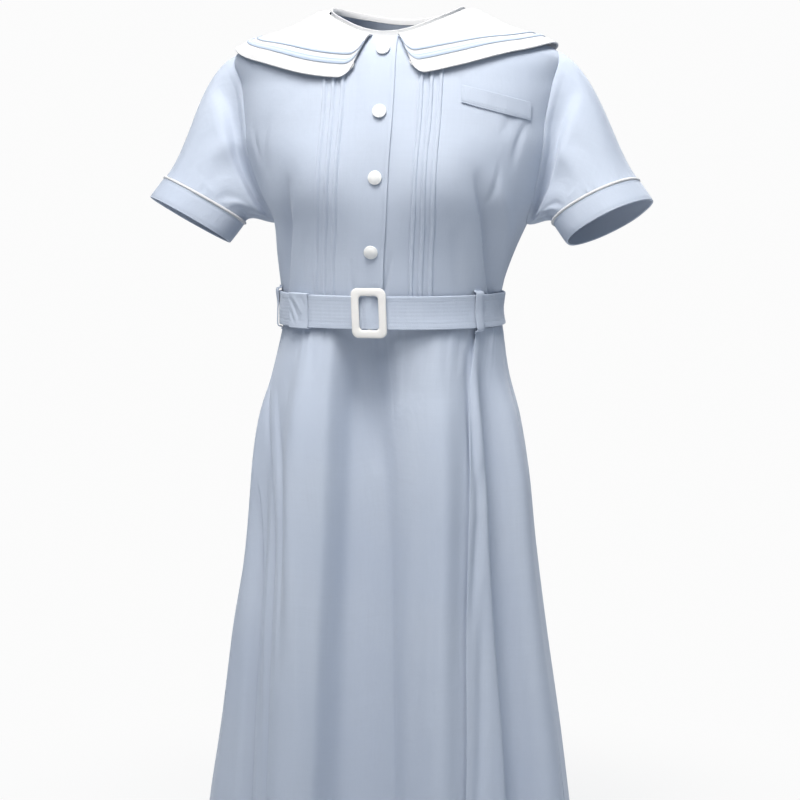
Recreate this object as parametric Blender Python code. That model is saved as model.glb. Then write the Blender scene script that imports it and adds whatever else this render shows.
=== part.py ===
"""Builds a short-sleeved nurse uniform dress as it hangs when worn: a buttoned bodice with
pintucks and a slanting breast pocket, a wide collar, cuffed sleeves, an A-line skirt and a
belt with a slide buckle. The front faces -Y, the wearer's left is +X, the mid plane is X = 0,
and the origin is between the shoulder seams, at half their height. Sizes are in millimetres
and angles in degrees; the meshes are made in metres."""

import bmesh
import bpy
import numpy as np
from mathutils import Matrix, Vector

METRES = 0.001

CLOTH = 1.6
GAP = 0.3
LAP = CLOTH + 0.5

NECK_ROW = 0.0
SHOULDER_ROW = 2.0
UNDERARM_ROW = 7.0
WAIST_ROW = 10.0
HEM_ROW = 19.0
NECK_FRONT_ROW = 1.5
NECK_BACK_ROW = 0.6

ARM_STEPS = 11
ARM_FRONT_DEPTH = 48.0
ARM_BACK_DEPTH = 56.0
ARM_ROUNDNESS = 0.55

# The worn shape from the neck down: height, half widths on the wearer's right and left, depth
# in front of the side line and behind it, how far the middle line leans to the wearer's left,
# and the power of the oval (2 is an ellipse, more is squarer).
SECTIONS = np.array(
    [
        (20, 80, 80, 58, 56, 9, 2.0),
        (0, 129, 126, 73, 66, 10, 2.1),
        (-27, 199, 190, 94, 82, 10, 2.2),
        (-67, 194, 195, 107, 94, 10.5, 2.3),
        (-110, 190, 192, 117, 101, 10, 2.3),
        (-145, 184, 190, 122, 104, 8.5, 2.3),
        (-195, 163, 177, 123, 104, 6, 2.25),
        (-231, 142, 160, 119, 103, 3, 2.2),
        (-268, 132, 147, 112, 100, -1, 2.2),
        (-305, 127, 136, 107, 98, -3, 2.2),
        (-332, 127, 132, 105, 97, -3, 2.2),
        (-357, 130, 134, 108, 101, -1, 2.2),
        (-410, 142, 141, 118, 113, -1, 2.2),
        (-464, 154, 154, 127, 124, -1, 2.2),
        (-535, 162, 163, 135, 135, 0, 2.2),
        (-618, 170, 170, 141, 143, 0, 2.2),
        (-717, 187, 183, 149, 151, -1, 2.2),
        (-830, 201, 199, 158, 160, -1, 2.2),
        (-919, 213, 211, 165, 167, -2, 2.2),
        (-1005, 223, 221, 171, 174, -2, 2.2),
    ],
    dtype=[
        (name, float)
        for name in ("height", "right", "left", "front", "back", "lean", "power")
    ],
)

# The two rounded cups of the bodice front: distance from the middle line, height, half spans
# and how far they come forward.
CUP_X, CUP_Z, CUP_SPAN_X, CUP_SPAN_Z, CUP_RISE = 76.0, -178.0, 50.0, 48.0, 12.0

# Soft folds, from the first row to the last: angle at each end, half width and depth in mm,
# which is below nought for a valley. Those of the skirt are deepest at the hem.
FOLDS = np.array(
    [
        (5.2, 10.0, 45, 84, 5, -7),
        (5.4, 10.0, 55, 94, 5, 5),
        (5.2, 10.0, -44, -72, 5, -6),
        (5.4, 10.0, -56, -84, 6, 5),
        (6.0, 10.0, 128, 132, 7, -5),
        (6.0, 10.0, -128, -132, 7, -5),
        (12.5, 28.0, -63, -24, 3.6, -12),
        (10.2, 28.0, -42, -8, 9, 10),
        (10.2, 28.0, -7, 6, 12, -13),
        (10.2, 28.0, 40, 16, 9, 10),
        (10.2, 28.0, 67, 60, 5, -14),
        (10.2, 28.0, 82, 76, 7, 8),
        (10.2, 28.0, -90, -78, 7, 6),
        (10.2, 28.0, 112, 110, 9, 9),
        (10.2, 28.0, 132, 130, 8, -12),
        (10.2, 28.0, 154, 152, 10, 9),
        (10.2, 28.0, 176, 176, 8, -11),
        (10.2, 28.0, 200, 202, 10, 9),
        (10.2, 28.0, 224, 226, 8, -12),
        (10.2, 28.0, 246, 248, 9, 8),
    ],
    dtype=[
        (name, float)
        for name in ("first", "last", "first_angle", "last_angle", "width", "depth")
    ],
)

TUCKS = (46.0, 57.0, 68.0)
TUCK_HEIGHT = 2.0
PAST_TUCKS = 75.0
# The right front laps this far over the middle line, and is level with the left one again at
# LAP_ENDS.
OVERLAP = 15.0
LAP_ENDS = 30.0
SHARP_EDGE = 40.0
NORMAL_STEP_ANGLE, NORMAL_STEP_ROW = 0.3, 0.03

for old in list(bpy.data.objects):
    bpy.data.objects.remove(old, do_unlink=True)


def through(values, at):
    """The smooth curve through values, the first at 0 and one for each whole number."""
    last = len(values) - 1
    ends = np.concatenate(
        [[2 * values[0] - values[1]], values, [2 * values[-1] - values[-2]]]
    )
    before = np.clip(np.floor(at).astype(int), 0, last - 1)
    t = at - before
    p, q, r, s = (ends[before + k] for k in range(4))
    return (
        q
        + 0.5 * (r - p) * t
        + (p - 2.5 * q + 2 * r - 0.5 * s) * t**2
        + (1.5 * (q - r) + 0.5 * (s - p)) * t**3
    )


def column(name, row):
    return through(SECTIONS[name], np.asarray(row, float))


def drape(angle, row):
    """How far the soft folds stand out at an angle and a row: a bell across each fold, that
    rises and falls as a sine from its first row to its last."""
    out = np.zeros(np.broadcast(angle, row).shape)
    for fold in FOLDS:
        along = np.clip((row - fold["first"]) / (fold["last"] - fold["first"]), 0, 1)
        middle = fold["first_angle"] + (fold["last_angle"] - fold["first_angle"]) * along
        off = (angle - middle + 180) % 360 - 180
        bell = np.exp(-((off / fold["width"]) ** 2))
        out = out + fold["depth"] * bell * np.sin(np.pi * along)
    return out


def body(angle, row):
    """The cloth's outer face: at each row a squared oval |x/a|^p + |y/b|^p = 1, with the soft
    folds and the two cups added."""
    angle, row = np.broadcast_arrays(np.asarray(angle, float), np.asarray(row, float))
    across, ahead = np.sin(np.radians(angle)), np.cos(np.radians(angle))
    half = np.where(across > 0, column("left", row), column("right", row))
    depth = np.where(ahead > 0, column("front", row), column("back", row))
    power = column("power", row)
    oval = np.abs(across / half) ** power + np.abs(ahead / depth) ** power
    reach = oval ** (-1 / power) + drape(angle, row)
    height = column("height", row)
    beside = (np.abs(reach * across) - CUP_X) / CUP_SPAN_X
    above = (height - CUP_Z) / CUP_SPAN_Z
    cup = CUP_RISE * np.exp(-(beside**2) - above**2) * np.clip(ahead, 0, 1)
    return np.stack(
        [column("lean", row) + reach * across, -reach * ahead - cup, height], axis=-1
    )


def unit(vectors):
    return vectors / np.linalg.norm(vectors, axis=-1, keepdims=True)


def outward(angle, row):
    """The unit normal of the outer face, from small steps of angle and row."""
    row = np.asarray(row, float)
    across = body(angle + NORMAL_STEP_ANGLE, row) - body(angle - NORMAL_STEP_ANGLE, row)
    down = body(angle, row + NORMAL_STEP_ROW) - body(angle, row - NORMAL_STEP_ROW)
    return unit(np.cross(down, across))


def cloth(angle, row, out):
    """A point of the outer face, moved out by some millimetres."""
    angle, row, out = np.broadcast_arrays(angle, row, np.asarray(out, float))
    return body(angle, row) + outward(angle, row) * out[..., None]


def angle_at(distance, row):
    """The angle of the front point that is some distance across from the middle line."""
    across = np.abs(distance)
    half = np.where(
        np.asarray(distance) > 0, column("left", row), column("right", row)
    )
    power = column("power", row)
    ahead = column("front", row) * (1 - (across / half) ** power) ** (1 / power)
    return np.degrees(np.arctan2(distance, ahead))


def make(name, points, faces, colour, roughness):
    """An object of its own, closed and turned outward, with its own material."""
    mesh = bpy.data.meshes.new(name)
    mesh.from_pydata((points * METRES).tolist(), [], list(faces))
    made = bmesh.new()
    made.from_mesh(mesh)
    bmesh.ops.recalc_face_normals(made, faces=made.faces)
    made.to_mesh(mesh)
    made.free()
    mesh.shade_smooth()
    mesh.set_sharp_from_angle(angle=np.radians(SHARP_EDGE))
    thing = bpy.data.objects.new(name, mesh)
    bpy.context.collection.objects.link(thing)
    material = bpy.data.materials.new(name)
    material.use_nodes = True
    surface = material.node_tree.nodes["Principled BSDF"]
    surface.inputs["Base Color"].default_value = (*colour, 1)
    surface.inputs["Roughness"].default_value = roughness
    mesh.materials.append(material)
    return thing


def squares(number):
    """Four-sided faces between neighbouring points of a numbered grid."""
    corners = [number[:-1, :-1], number[:-1, 1:], number[1:, 1:], number[1:, :-1]]
    return np.stack(corners, axis=-1).reshape(-1, 4)


def wall(name, outer, inner, colour, roughness, ring=False):
    """A piece of cloth between an outer and an inner face, each a grid of rows and columns,
    closed along its edges. In a ring the last column joins the first."""
    rows, columns = outer.shape[:2]
    number = np.arange(rows * columns).reshape(rows, columns)
    if ring:
        number = np.concatenate([number, number[:, :1]], axis=1)
    back = number + rows * columns
    faces = [squares(number), squares(back)]
    edges = [(number[0], back[0]), (number[-1], back[-1])]
    if not ring:
        edges += [(number[:, 0], back[:, 0]), (number[:, -1], back[:, -1])]
    faces += [squares(np.stack(pair)) for pair in edges]
    points = np.concatenate([outer.reshape(-1, 3), inner.reshape(-1, 3)])
    return make(name, points, np.concatenate(faces), colour, roughness)


def hoop(name, grid, colour, roughness):
    """A closed ring with a closed section: a grid whose rows and columns both join up."""
    rows, columns = grid.shape[:2]
    number = np.arange(rows * columns).reshape(rows, columns)
    number = np.concatenate([number, number[:, :1]], axis=1)
    number = np.concatenate([number, number[:1]], axis=0)
    return make(name, grid.reshape(-1, 3), squares(number), colour, roughness)


BLUE = (0.56, 0.64, 0.78)
WHITE = (0.86, 0.87, 0.9)
TAPE_BLUE = (0.6, 0.68, 0.8)
IVORY = (0.8, 0.78, 0.74)
FABRIC_ROUGHNESS = 0.85
PLASTIC_ROUGHNESS = 0.35

# Bodice. Rows run from the waist up the side seam, round the armhole and along the shoulder
# seam to the neck; columns run from the middle to the side.
half_turn = np.linspace(0, np.pi, ARM_STEPS + 1)
ARM_ROWS = UNDERARM_ROW - (UNDERARM_ROW - SHOULDER_ROW) * (1 - np.cos(half_turn)) / 2
# The cloth stops this share of a row short of the waist seam, which is half a gap.
WAIST_EDGE = 0.006
FIT_ROUNDS = 8
SIDE_ROWS = np.concatenate([[WAIST_ROW - WAIST_EDGE, 9, 8], ARM_ROWS, [1.35, 0.7, NECK_ROW]])


def armhole_angle(row, depth):
    """The angle of the armhole's edge at a row. The edge goes depth mm in front of the side
    line, or behind it if depth is below nought, and is 90 degrees at the two seams."""
    share = np.clip((UNDERARM_ROW - row) / (UNDERARM_ROW - SHOULDER_ROW), 0, 1)
    ahead = depth * np.sin(np.pi * share) ** ARM_ROUNDNESS
    half = (column("left", row) + column("right", row)) / 2
    face = column("front", row) if depth > 0 else column("back", row)
    power = column("power", row)
    across = half * (1 - np.abs(ahead / face) ** power) ** (1 / power)
    return np.degrees(np.arctan2(across, ahead))


def seam_angle(row):
    """Half the gap of a seam, as an angle."""
    return np.degrees(GAP / 2 / column("right", row))


def middle_rows(neck_row):
    """The rows at the middle line that go with SIDE_ROWS."""
    share = (WAIST_ROW - SIDE_ROWS) / (WAIST_ROW - NECK_ROW)
    return WAIST_ROW - (WAIST_ROW - neck_row) * share


def tuck_columns():
    """Distances from the middle and heights of the pintucks: each slopes up and drops at once
    on its outer side."""
    return [
        (centre + step, TUCK_HEIGHT * share)
        for centre in TUCKS
        for step, share in ((-4.5, 0), (-1.5, 0.75), (2.5, 1), (3.7, 0))
    ]


def front_grid(side, flat_columns, shares):
    """Angles and rows of a front's grid: columns at fixed distances from the middle line, then
    at shares of the way from the last of them to the side. The rows depend on the angles, so
    both are found in a few rounds."""
    side_rows, centre_rows = SIDE_ROWS[:, None], middle_rows(NECK_FRONT_ROW)[:, None]
    edge = armhole_angle(side_rows, ARM_FRONT_DEPTH) - seam_angle(side_rows)
    distances = np.array(flat_columns)[None, :]
    angles = np.zeros_like(distances + side_rows)
    for _ in range(FIT_ROUNDS):
        rows = side_rows + (centre_rows - side_rows) * np.cos(np.pi / 2 * angles / edge) ** 2
        angles = side * angle_at(side * distances, rows)
    rest = angles[:, -1:] + (edge - angles[:, -1:]) * np.array(shares)[None, :]
    angles = np.concatenate([angles, rest], axis=1)
    rows = side_rows + (centre_rows - side_rows) * np.cos(np.pi / 2 * angles / edge) ** 2
    return side * angles, rows


def tuck_fade(rows):
    """The pintucks lie flatter at the neck seam and under the belt."""
    return np.interp(rows, [0.9, 1.9, 9.0, 9.7], [0.2, 1.0, 1.0, 0.5])


SIDE_SHARES = (0.17, 0.35, 0.52, 0.68, 0.84, 1.0)
tucks = tuck_columns()
near_columns = [(-OVERLAP, 0), (0, 0), (OVERLAP, 0), (LAP_ENDS, 0)]
flat = near_columns + tucks + [(PAST_TUCKS, 0)]
distances = [distance for distance, _ in flat]
heights = np.array([height for _, height in flat] + [0] * len(SIDE_SHARES))

left_angles, left_rows = front_grid(1, distances, SIDE_SHARES)
raised = heights * tuck_fade(left_rows)
wall(
    "front_left",
    cloth(left_angles, left_rows, raised),
    cloth(left_angles, left_rows, -CLOTH),
    BLUE,
    FABRIC_ROUGHNESS,
)

right_angles, right_rows = front_grid(-1, distances, SIDE_SHARES)
raised = heights * tuck_fade(right_rows)
lap = np.interp(distances + [LAP_ENDS] * len(SIDE_SHARES), [OVERLAP, LAP_ENDS], [LAP, 0])
wall(
    "front_right",
    cloth(right_angles, right_rows, raised + lap),
    cloth(right_angles, right_rows, lap - CLOTH + 0 * right_rows),
    BLUE,
    FABRIC_ROUGHNESS,
)

BACK_COLUMNS = 17
back_edge = armhole_angle(SIDE_ROWS[:, None], -ARM_BACK_DEPTH) + seam_angle(SIDE_ROWS[:, None])
back_share = np.linspace(-1, 1, BACK_COLUMNS)[None, :]
back_angles = 180 + (180 - back_edge) * back_share
back_rows = SIDE_ROWS[:, None] + (middle_rows(NECK_BACK_ROW) - SIDE_ROWS)[:, None] * (
    np.cos(np.pi / 2 * back_share) ** 2
)
wall(
    "back",
    cloth(back_angles, back_rows, 0),
    cloth(back_angles, back_rows, -CLOTH),
    BLUE,
    FABRIC_ROUGHNESS,
)

# Pocket welt: a slanting strip on the wearer's left front, by distance from the middle and row.
WELT_INNER_X, WELT_OUTER_X = 93.0, 167.0
WELT_TOP_ROWS = (3.06, 3.5)
WELT_BOTTOM_ROWS = (3.5, 3.97)
WELT_COLUMNS = 7
welt_share = np.linspace(0, 1, WELT_COLUMNS)[None, :]
welt_down = np.linspace(0, 1, 3)[:, None]
welt_top = WELT_TOP_ROWS[0] + (WELT_TOP_ROWS[1] - WELT_TOP_ROWS[0]) * welt_share
welt_bottom = WELT_BOTTOM_ROWS[0] + (WELT_BOTTOM_ROWS[1] - WELT_BOTTOM_ROWS[0]) * welt_share
welt_rows = welt_top + (welt_bottom - welt_top) * welt_down
welt_x = WELT_INNER_X + (WELT_OUTER_X - WELT_INNER_X) * welt_share + 0 * welt_down
welt_angles = angle_at(welt_x, welt_rows)
WELT_LIFT = 0.7
wall(
    "pocket_welt",
    cloth(welt_angles, welt_rows, WELT_LIFT + CLOTH),
    cloth(welt_angles, welt_rows, WELT_LIFT),
    BLUE,
    FABRIC_ROUGHNESS,
)

# Collar. A share of -1 is the wearer's right front end, 0 the middle back and 1 the left end.
COLLAR = 2.0
COLLAR_OPENING_TOP = 15.0
COLLAR_OPENING_EDGE = 40.0
COLLAR_CORNER = 16.0
TAPE = 1.0
WIDE_TAPE = (17.0, 23.5)
NARROW_TAPE = (29.5, 32.0)
# The row of the collar's outer edge at every EDGE_STEP degrees from the middle front, on the
# wearer's right, where it lies lower, and left.
EDGE_STEP = 22.5
RIGHT_EDGE_ROWS = np.array([2.72, 2.85, 2.72, 2.3, 1.88, 2.3, 2.9, 3.25, 3.35])
LEFT_EDGE_ROWS = np.array([2.72, 2.75, 2.5, 2.1, 1.86, 2.3, 2.9, 3.25, 3.35])
# How far the collar stands off the bodice, in eighths of the way from the neck to its edge.
COLLAR_RISE = np.array([4.4, 9.0, 8.2, 7.2, 6.4, 6.0, 6.2, 6.8, 7.4])


def neck_row(angle):
    """The row of the neck edge: rounder and lower in front than behind."""
    dip = np.where(np.abs(angle) < 90, NECK_FRONT_ROW, NECK_BACK_ROW)
    return NECK_ROW + dip * np.cos(np.radians(angle)) ** 2


def edge_row(side, angle):
    """The row of the collar's outer edge, at an angle without its sign."""
    right = through(RIGHT_EDGE_ROWS, angle / EDGE_STEP)
    left = through(LEFT_EDGE_ROWS, angle / EDGE_STEP)
    return np.where(side < 0, right, left)


def collar_place(share, across):
    """Angle and row of a collar point, across being 0 at the neck and 1 at the edge."""
    side = np.where(share < 0, -1.0, 1.0)
    opening = COLLAR_OPENING_TOP + (COLLAR_OPENING_EDGE - COLLAR_OPENING_TOP) * across
    start = np.zeros_like(opening * share)
    for _ in range(FIT_ROUNDS):
        row = neck_row(start)
        row = row + (edge_row(side, start) - row) * across
        start = side * angle_at(side * opening, row)
    angle = 180 - (180 - start) * np.abs(share)
    row = neck_row(angle)
    row = row + (edge_row(side, angle) - row) * across
    return side * angle, row


def collar_points(share, across, out):
    angle, row = collar_place(share, across)
    return cloth(angle, row, through(COLLAR_RISE, 8 * across) + out)


def across_at(share, from_edge):
    """The across value of the points that lie some distance in from the collar's edge, measured
    on its outer face, for each share."""
    fine = np.linspace(1, 0, 61)[:, None]
    path = collar_points(share[None, :], fine, 0)
    steps = np.linalg.norm(np.diff(path, axis=0), axis=-1)
    length = np.concatenate([np.zeros((1, len(share))), np.cumsum(steps, axis=0)])
    picks = [
        np.interp(wanted, run, fine[:, 0])
        for wanted, run in zip(from_edge.T, length.T)
    ]
    return np.array(picks).T, length[-1]


half_edge = collar_points(np.linspace(0, 1, 200), np.ones(200), 0)
edge_run = np.linalg.norm(np.diff(half_edge, axis=0), axis=-1).sum()
CORNER_STEPS_IN = np.array([0, 1.5, 5, 10, 16])
COLLAR_SIDE_COLUMNS = 15
evenly = np.linspace(CORNER_STEPS_IN[-1], edge_run, COLLAR_SIDE_COLUMNS)[1:]
from_end = np.concatenate([CORNER_STEPS_IN, evenly])
side_shares = 1 - from_end / edge_run
shares = np.concatenate([-side_shares, side_shares[-2::-1]])
ends = np.concatenate([from_end, from_end[-2::-1]])
short = np.clip(COLLAR_CORNER - ends, 0, None)
corner = COLLAR_CORNER - np.sqrt(COLLAR_CORNER**2 - short**2)
_, lengths = across_at(shares, np.zeros((1, len(shares))))
inner_shares = np.array([0.3, 0.6, 0.85, 1.0])[:, None]
tape_rows = np.array([*WIDE_TAPE, *NARROW_TAPE])[:, None] + 0 * corner
from_edge = np.concatenate(
    [
        corner[None, :],
        (corner + WIDE_TAPE[0])[None, :] / 2,
        tape_rows,
        NARROW_TAPE[1] + (lengths - NARROW_TAPE[1]) * inner_shares,
    ]
)
collar_across, _ = across_at(shares, from_edge)
collar_across[-1] = 0
wall(
    "collar",
    collar_points(shares[None, :], collar_across, 0),
    collar_points(shares[None, :], collar_across, -COLLAR),
    WHITE,
    FABRIC_ROUGHNESS,
)
for name, first in (("collar_tape_wide", 2), ("collar_tape_narrow", 4)):
    rows = collar_across[first : first + 2]
    wall(
        name,
        collar_points(shares[None, :], rows, GAP + TAPE),
        collar_points(shares[None, :], rows, GAP),
        TAPE_BLUE,
        FABRIC_ROUGHNESS,
    )

# Neckband: stands on the neck edge and goes all round, from the lap of the right front.
BAND_HEIGHT = 6.5
BAND = 1.5
BAND_COLUMNS = 41
BAND_ABOVE_SEAM = 0.7
band_start = float(angle_at(OVERLAP - 1, np.array(NECK_FRONT_ROW)))
band_angles = np.linspace(band_start + np.degrees(GAP / 80), band_start + 360, BAND_COLUMNS)
band_wrapped = (band_angles + 180) % 360 - 180
band_rows = neck_row(band_wrapped)
edge_points = body(band_wrapped, band_rows)
inward_slope = unit(body(band_wrapped, band_rows - 0.03) - edge_points)
centre = edge_points.mean(axis=0)
inward = unit((centre - edge_points) * np.array([1, 1, 0]))
band_foot = edge_points + inward_slope * BAND_ABOVE_SEAM
up = np.array([0, 0, 1.0])
band_outer = np.stack([band_foot, band_foot + up * BAND_HEIGHT])
wall("neckband", band_outer, band_outer + inward * BAND, WHITE, FABRIC_ROUGHNESS)

# Sleeves: from the armhole to the cuff seam. Rows run down the sleeve, columns round it from
# the underarm over the front, the top and the back.
SLEEVE_ROWS = 8
CUFF_CENTRE = np.array([254.5, -25.0, -228.0])
CUFF_LEAN = 10.0
CUFF_HALF_WIDTH, CUFF_HALF_DEPTH = 56.5, 48.0
CUFF_ACROSS = np.array([0.883, 0.0, 0.471])
CUFF_AHEAD = np.array([-0.103, -0.975, 0.194])
CUFF_DOWN = np.array([0.57, -0.2, -0.797])
CUFF_HEIGHT = 27.2
CUFF = 2.2
PIPING = 1.8
SLEEVE_START = np.array([0.9, -0.08, -0.42])
SLEEVE_FULLNESS = 0.9
SEAM_CLEAR = 0.85 * GAP
SLEEVE_END_INSET = 1.2
CORD_SIDES = 6
CORD_INSET = 0.4

around = 180 - 180 * np.arange(2 * ARM_STEPS) / ARM_STEPS
arm_rows = np.concatenate([ARM_ROWS, ARM_ROWS[-2:0:-1]])
arm_front = np.arange(2 * ARM_STEPS) <= ARM_STEPS


def cuff_ring(side, above, grow):
    """Points round the sleeve's end, some mm above the hem, on an oval that grows by some mm."""
    mirror = np.array([side, 1, 1])
    turn = np.radians(around)[:, None]
    above = np.asarray(above, float)[..., None, None]
    point = (
        CUFF_CENTRE
        - CUFF_DOWN * above
        + CUFF_ACROSS * (CUFF_HALF_WIDTH + grow) * np.cos(turn)
        + CUFF_AHEAD * (CUFF_HALF_DEPTH + grow) * np.sin(turn)
    )
    return point * mirror + np.array([CUFF_LEAN, 0, 0])


def ring_normals(grid):
    """Unit normals of a tube of points, rows along it and columns round it, away from its axis."""
    around_it = np.roll(grid, -1, axis=1) - np.roll(grid, 1, axis=1)
    along = np.gradient(grid, axis=0)
    normals = unit(np.cross(around_it, along))
    away = grid - grid.mean(axis=1, keepdims=True)
    facing = np.sign((normals * away).sum(axis=(1, 2)))
    return normals * facing[:, None, None]


def sleeve(name, side):
    """The sleeve's points follow a smooth curve from each armhole point to its cuff point. It
    leaves the armhole outward and reaches the cuff along the cuff's own axis."""
    mirror = np.array([side, 1, 1])
    front = armhole_angle(arm_rows, ARM_FRONT_DEPTH)
    back = armhole_angle(arm_rows, -ARM_BACK_DEPTH)
    angles = side * np.where(arm_front, front, back)
    hole = body(angles, arm_rows)
    face = outward(angles, arm_rows)
    into = unit(np.cross(face, np.roll(hole, -1, axis=0) - np.roll(hole, 1, axis=0)))
    to_centre = hole.mean(axis=0) - hole
    into = into * np.sign((into * to_centre).sum(axis=1))[:, None]
    start = hole + (into + face) * SEAM_CLEAR
    end = cuff_ring(side, CUFF_HEIGHT + 2 * PIPING + 2 * GAP, -SLEEVE_END_INSET)
    pull = SLEEVE_FULLNESS * np.linalg.norm(end - start, axis=1, keepdims=True)
    t = np.linspace(0, 1, SLEEVE_ROWS)[:, None, None]
    outer = (
        (2 * t**3 - 3 * t**2 + 1) * start
        + (t**3 - 2 * t**2 + t) * pull * SLEEVE_START * mirror
        + (3 * t**2 - 2 * t**3) * end
        + (t**3 - t**2) * pull * CUFF_DOWN * mirror
    )
    normals = ring_normals(outer)
    toward = np.clip((normals[0] * into).sum(axis=1, keepdims=True), 0, None)
    normals[0] = unit(normals[0] - toward * into)
    wall(name, outer, outer - normals * CLOTH, BLUE, FABRIC_ROUGHNESS, ring=True)


def cuff(name, side):
    outer = cuff_ring(side, np.linspace(CUFF_HEIGHT, 0, 3), 0.0)
    inner = cuff_ring(side, np.linspace(CUFF_HEIGHT, 0, 3), -CUFF)
    wall(name, outer, inner, BLUE, FABRIC_ROUGHNESS, ring=True)


def piping(name, side):
    """A round cord in the cuff seam, with flats towards the cloth on both sides of it."""
    turn = (np.arange(CORD_SIDES) + 0.5) * 2 * np.pi / CORD_SIDES
    middle = CUFF_HEIGHT + GAP + PIPING
    grid = [
        cuff_ring(side, middle + PIPING * np.sin(a), PIPING * np.cos(a) - CORD_INSET)
        for a in turn
    ]
    hoop(name, np.array(grid), WHITE, FABRIC_ROUGHNESS)


for word, side in (("right", -1), ("left", 1)):
    sleeve("sleeve_" + word, side)
    piping("piping_" + word, side)
    cuff("cuff_" + word, side)

# Skirt. Each column runs from an angle at the waist to an angle at the hem. The front has two
# pressed pleats, where the cloth steps out and eases back towards the wearer's left.
SKIRT_ROWS = np.array([WAIST_ROW + WAIST_EDGE, 10.5, 11, 12, 13, 14, 15, 16, 17, 18, HEM_ROW])
# The angle of each pleat's edge at the waist and at each row of the skirt below it.
PLEATS = (
    np.array([-80, -76, -70, -60, -51, -45, -41, -38, -36, -35.0]),
    np.array([66, 62, 57, 52.5, 49, 46.5, 44, 42, 40.5, 39.5]),
)
PLEAT_WIDTH = 0.7
PLEAT_HEIGHT = 3.0
PLEAT_EASE = 14.0
# Shares of the skirt's length where the pleats begin and where they are at full height.
PLEAT_STARTS, PLEAT_FULL = 0.13, 0.3
side_gap = np.degrees(GAP / 2 / column("right", SKIRT_ROWS))[:, None]
skirt_share = ((SKIRT_ROWS - WAIST_ROW) / (HEM_ROW - WAIST_ROW))[:, None]


def between(start, stop, count):
    """Columns from start up to stop, each a column of angles by row, without the last."""
    share = np.arange(count) / count
    return start[:, None] + (stop - start)[:, None] * share


SKIRT_SPANS = (5, 1, 21, 1, 11)
edges = [np.full(len(SKIRT_ROWS), -90.0)]
for pleat in PLEATS:
    edge = through(pleat, SKIRT_ROWS - WAIST_ROW)
    edges += [edge - PLEAT_WIDTH, edge + PLEAT_WIDTH]
edges.append(np.full(len(SKIRT_ROWS), 90.0))
spans = [
    between(start, stop, count)
    for start, stop, count in zip(edges[:-1], edges[1:], SKIRT_SPANS)
]
front_angles = np.concatenate([*spans, edges[-1][:, None]], axis=1)
front_angles[:, :1] += side_gap
front_angles[:, -1:] -= side_gap
pleat_out = np.zeros_like(front_angles)
for pleat in PLEATS:
    past = front_angles - through(pleat, SKIRT_ROWS - WAIST_ROW)[:, None]
    lift = PLEAT_HEIGHT * np.exp(-np.clip(past - PLEAT_WIDTH, 0, None) / PLEAT_EASE)
    grown = np.clip((skirt_share - PLEAT_STARTS) / (PLEAT_FULL - PLEAT_STARTS), 0, 1)
    pleat_out += np.where(past > 0, lift, 0) * grown
wall(
    "skirt_front",
    cloth(front_angles, SKIRT_ROWS[:, None], pleat_out),
    cloth(front_angles, SKIRT_ROWS[:, None], pleat_out - CLOTH),
    BLUE,
    FABRIC_ROUGHNESS,
)

SKIRT_BACK_COLUMNS = 33
back_angles = np.linspace(90, 270, SKIRT_BACK_COLUMNS)[None, :] + 0 * skirt_share
back_angles[:, :1] += side_gap
back_angles[:, -1:] -= side_gap
wall(
    "skirt_back",
    cloth(back_angles, SKIRT_ROWS[:, None], 0),
    cloth(back_angles, SKIRT_ROWS[:, None], -CLOTH),
    BLUE,
    FABRIC_ROUGHNESS,
)

# Belt: one strip that starts at its free end on the wearer's right, crosses the front over the
# buckle's bar, goes round the back and ends behind the bar.
BELT = 2.2
BELT_MIDDLE = -331.5
BELT_HALF_HEIGHT = 18.6
BELT_UNDER = 3.2
BELT_OVER = BELT_UNDER + BELT + GAP
BAR_LIFT = 2.3
BAR_EDGE_ANGLE, BULGE_ENDS_ANGLE = 1.7, 4.0
TURN = 360.0
# The angles between which the strip rises from the lower to the upper layer.
RISE_START, RISE_END = 24.0, 50.0
double_angles = np.array([-68, -61, -54, -47, -40, -33, -26, -19, -12, -6, -4, -1.7, 1.7, 4])
single_angles = np.arange(10, 288, 8)
belt_angles = np.concatenate([double_angles, single_angles, double_angles + TURN])
over_share = np.interp(belt_angles, [RISE_START, RISE_END], [1, 0])
over_share = over_share**2 * (3 - 2 * over_share)
bar_bulge = BAR_LIFT * np.interp(np.abs(belt_angles), [BAR_EDGE_ANGLE, BULGE_ENDS_ANGLE], [1, 0])
belt_out = BELT_UNDER + (BELT_OVER - BELT_UNDER) * over_share + bar_bulge


def level_row(level):
    """The row at a height above the belt's middle."""
    heights = SECTIONS["height"][::-1]
    return np.interp(BELT_MIDDLE + level, heights, np.arange(len(heights))[::-1])


def waist(angle, out, level):
    """A point at a height above the belt's middle, moved out from the dress but kept level."""
    point = cloth(angle, level_row(level), out)
    return point * np.array([1, 1, 0]) + np.array([0, 0, BELT_MIDDLE + level])


def belt_face(out):
    levels = (BELT_HALF_HEIGHT, -BELT_HALF_HEIGHT)
    return np.stack([waist(belt_angles, out, level) for level in levels])


wall(
    "belt",
    belt_face(belt_out + BELT),
    belt_face(belt_out),
    BLUE,
    FABRIC_ROUGHNESS,
)

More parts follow.
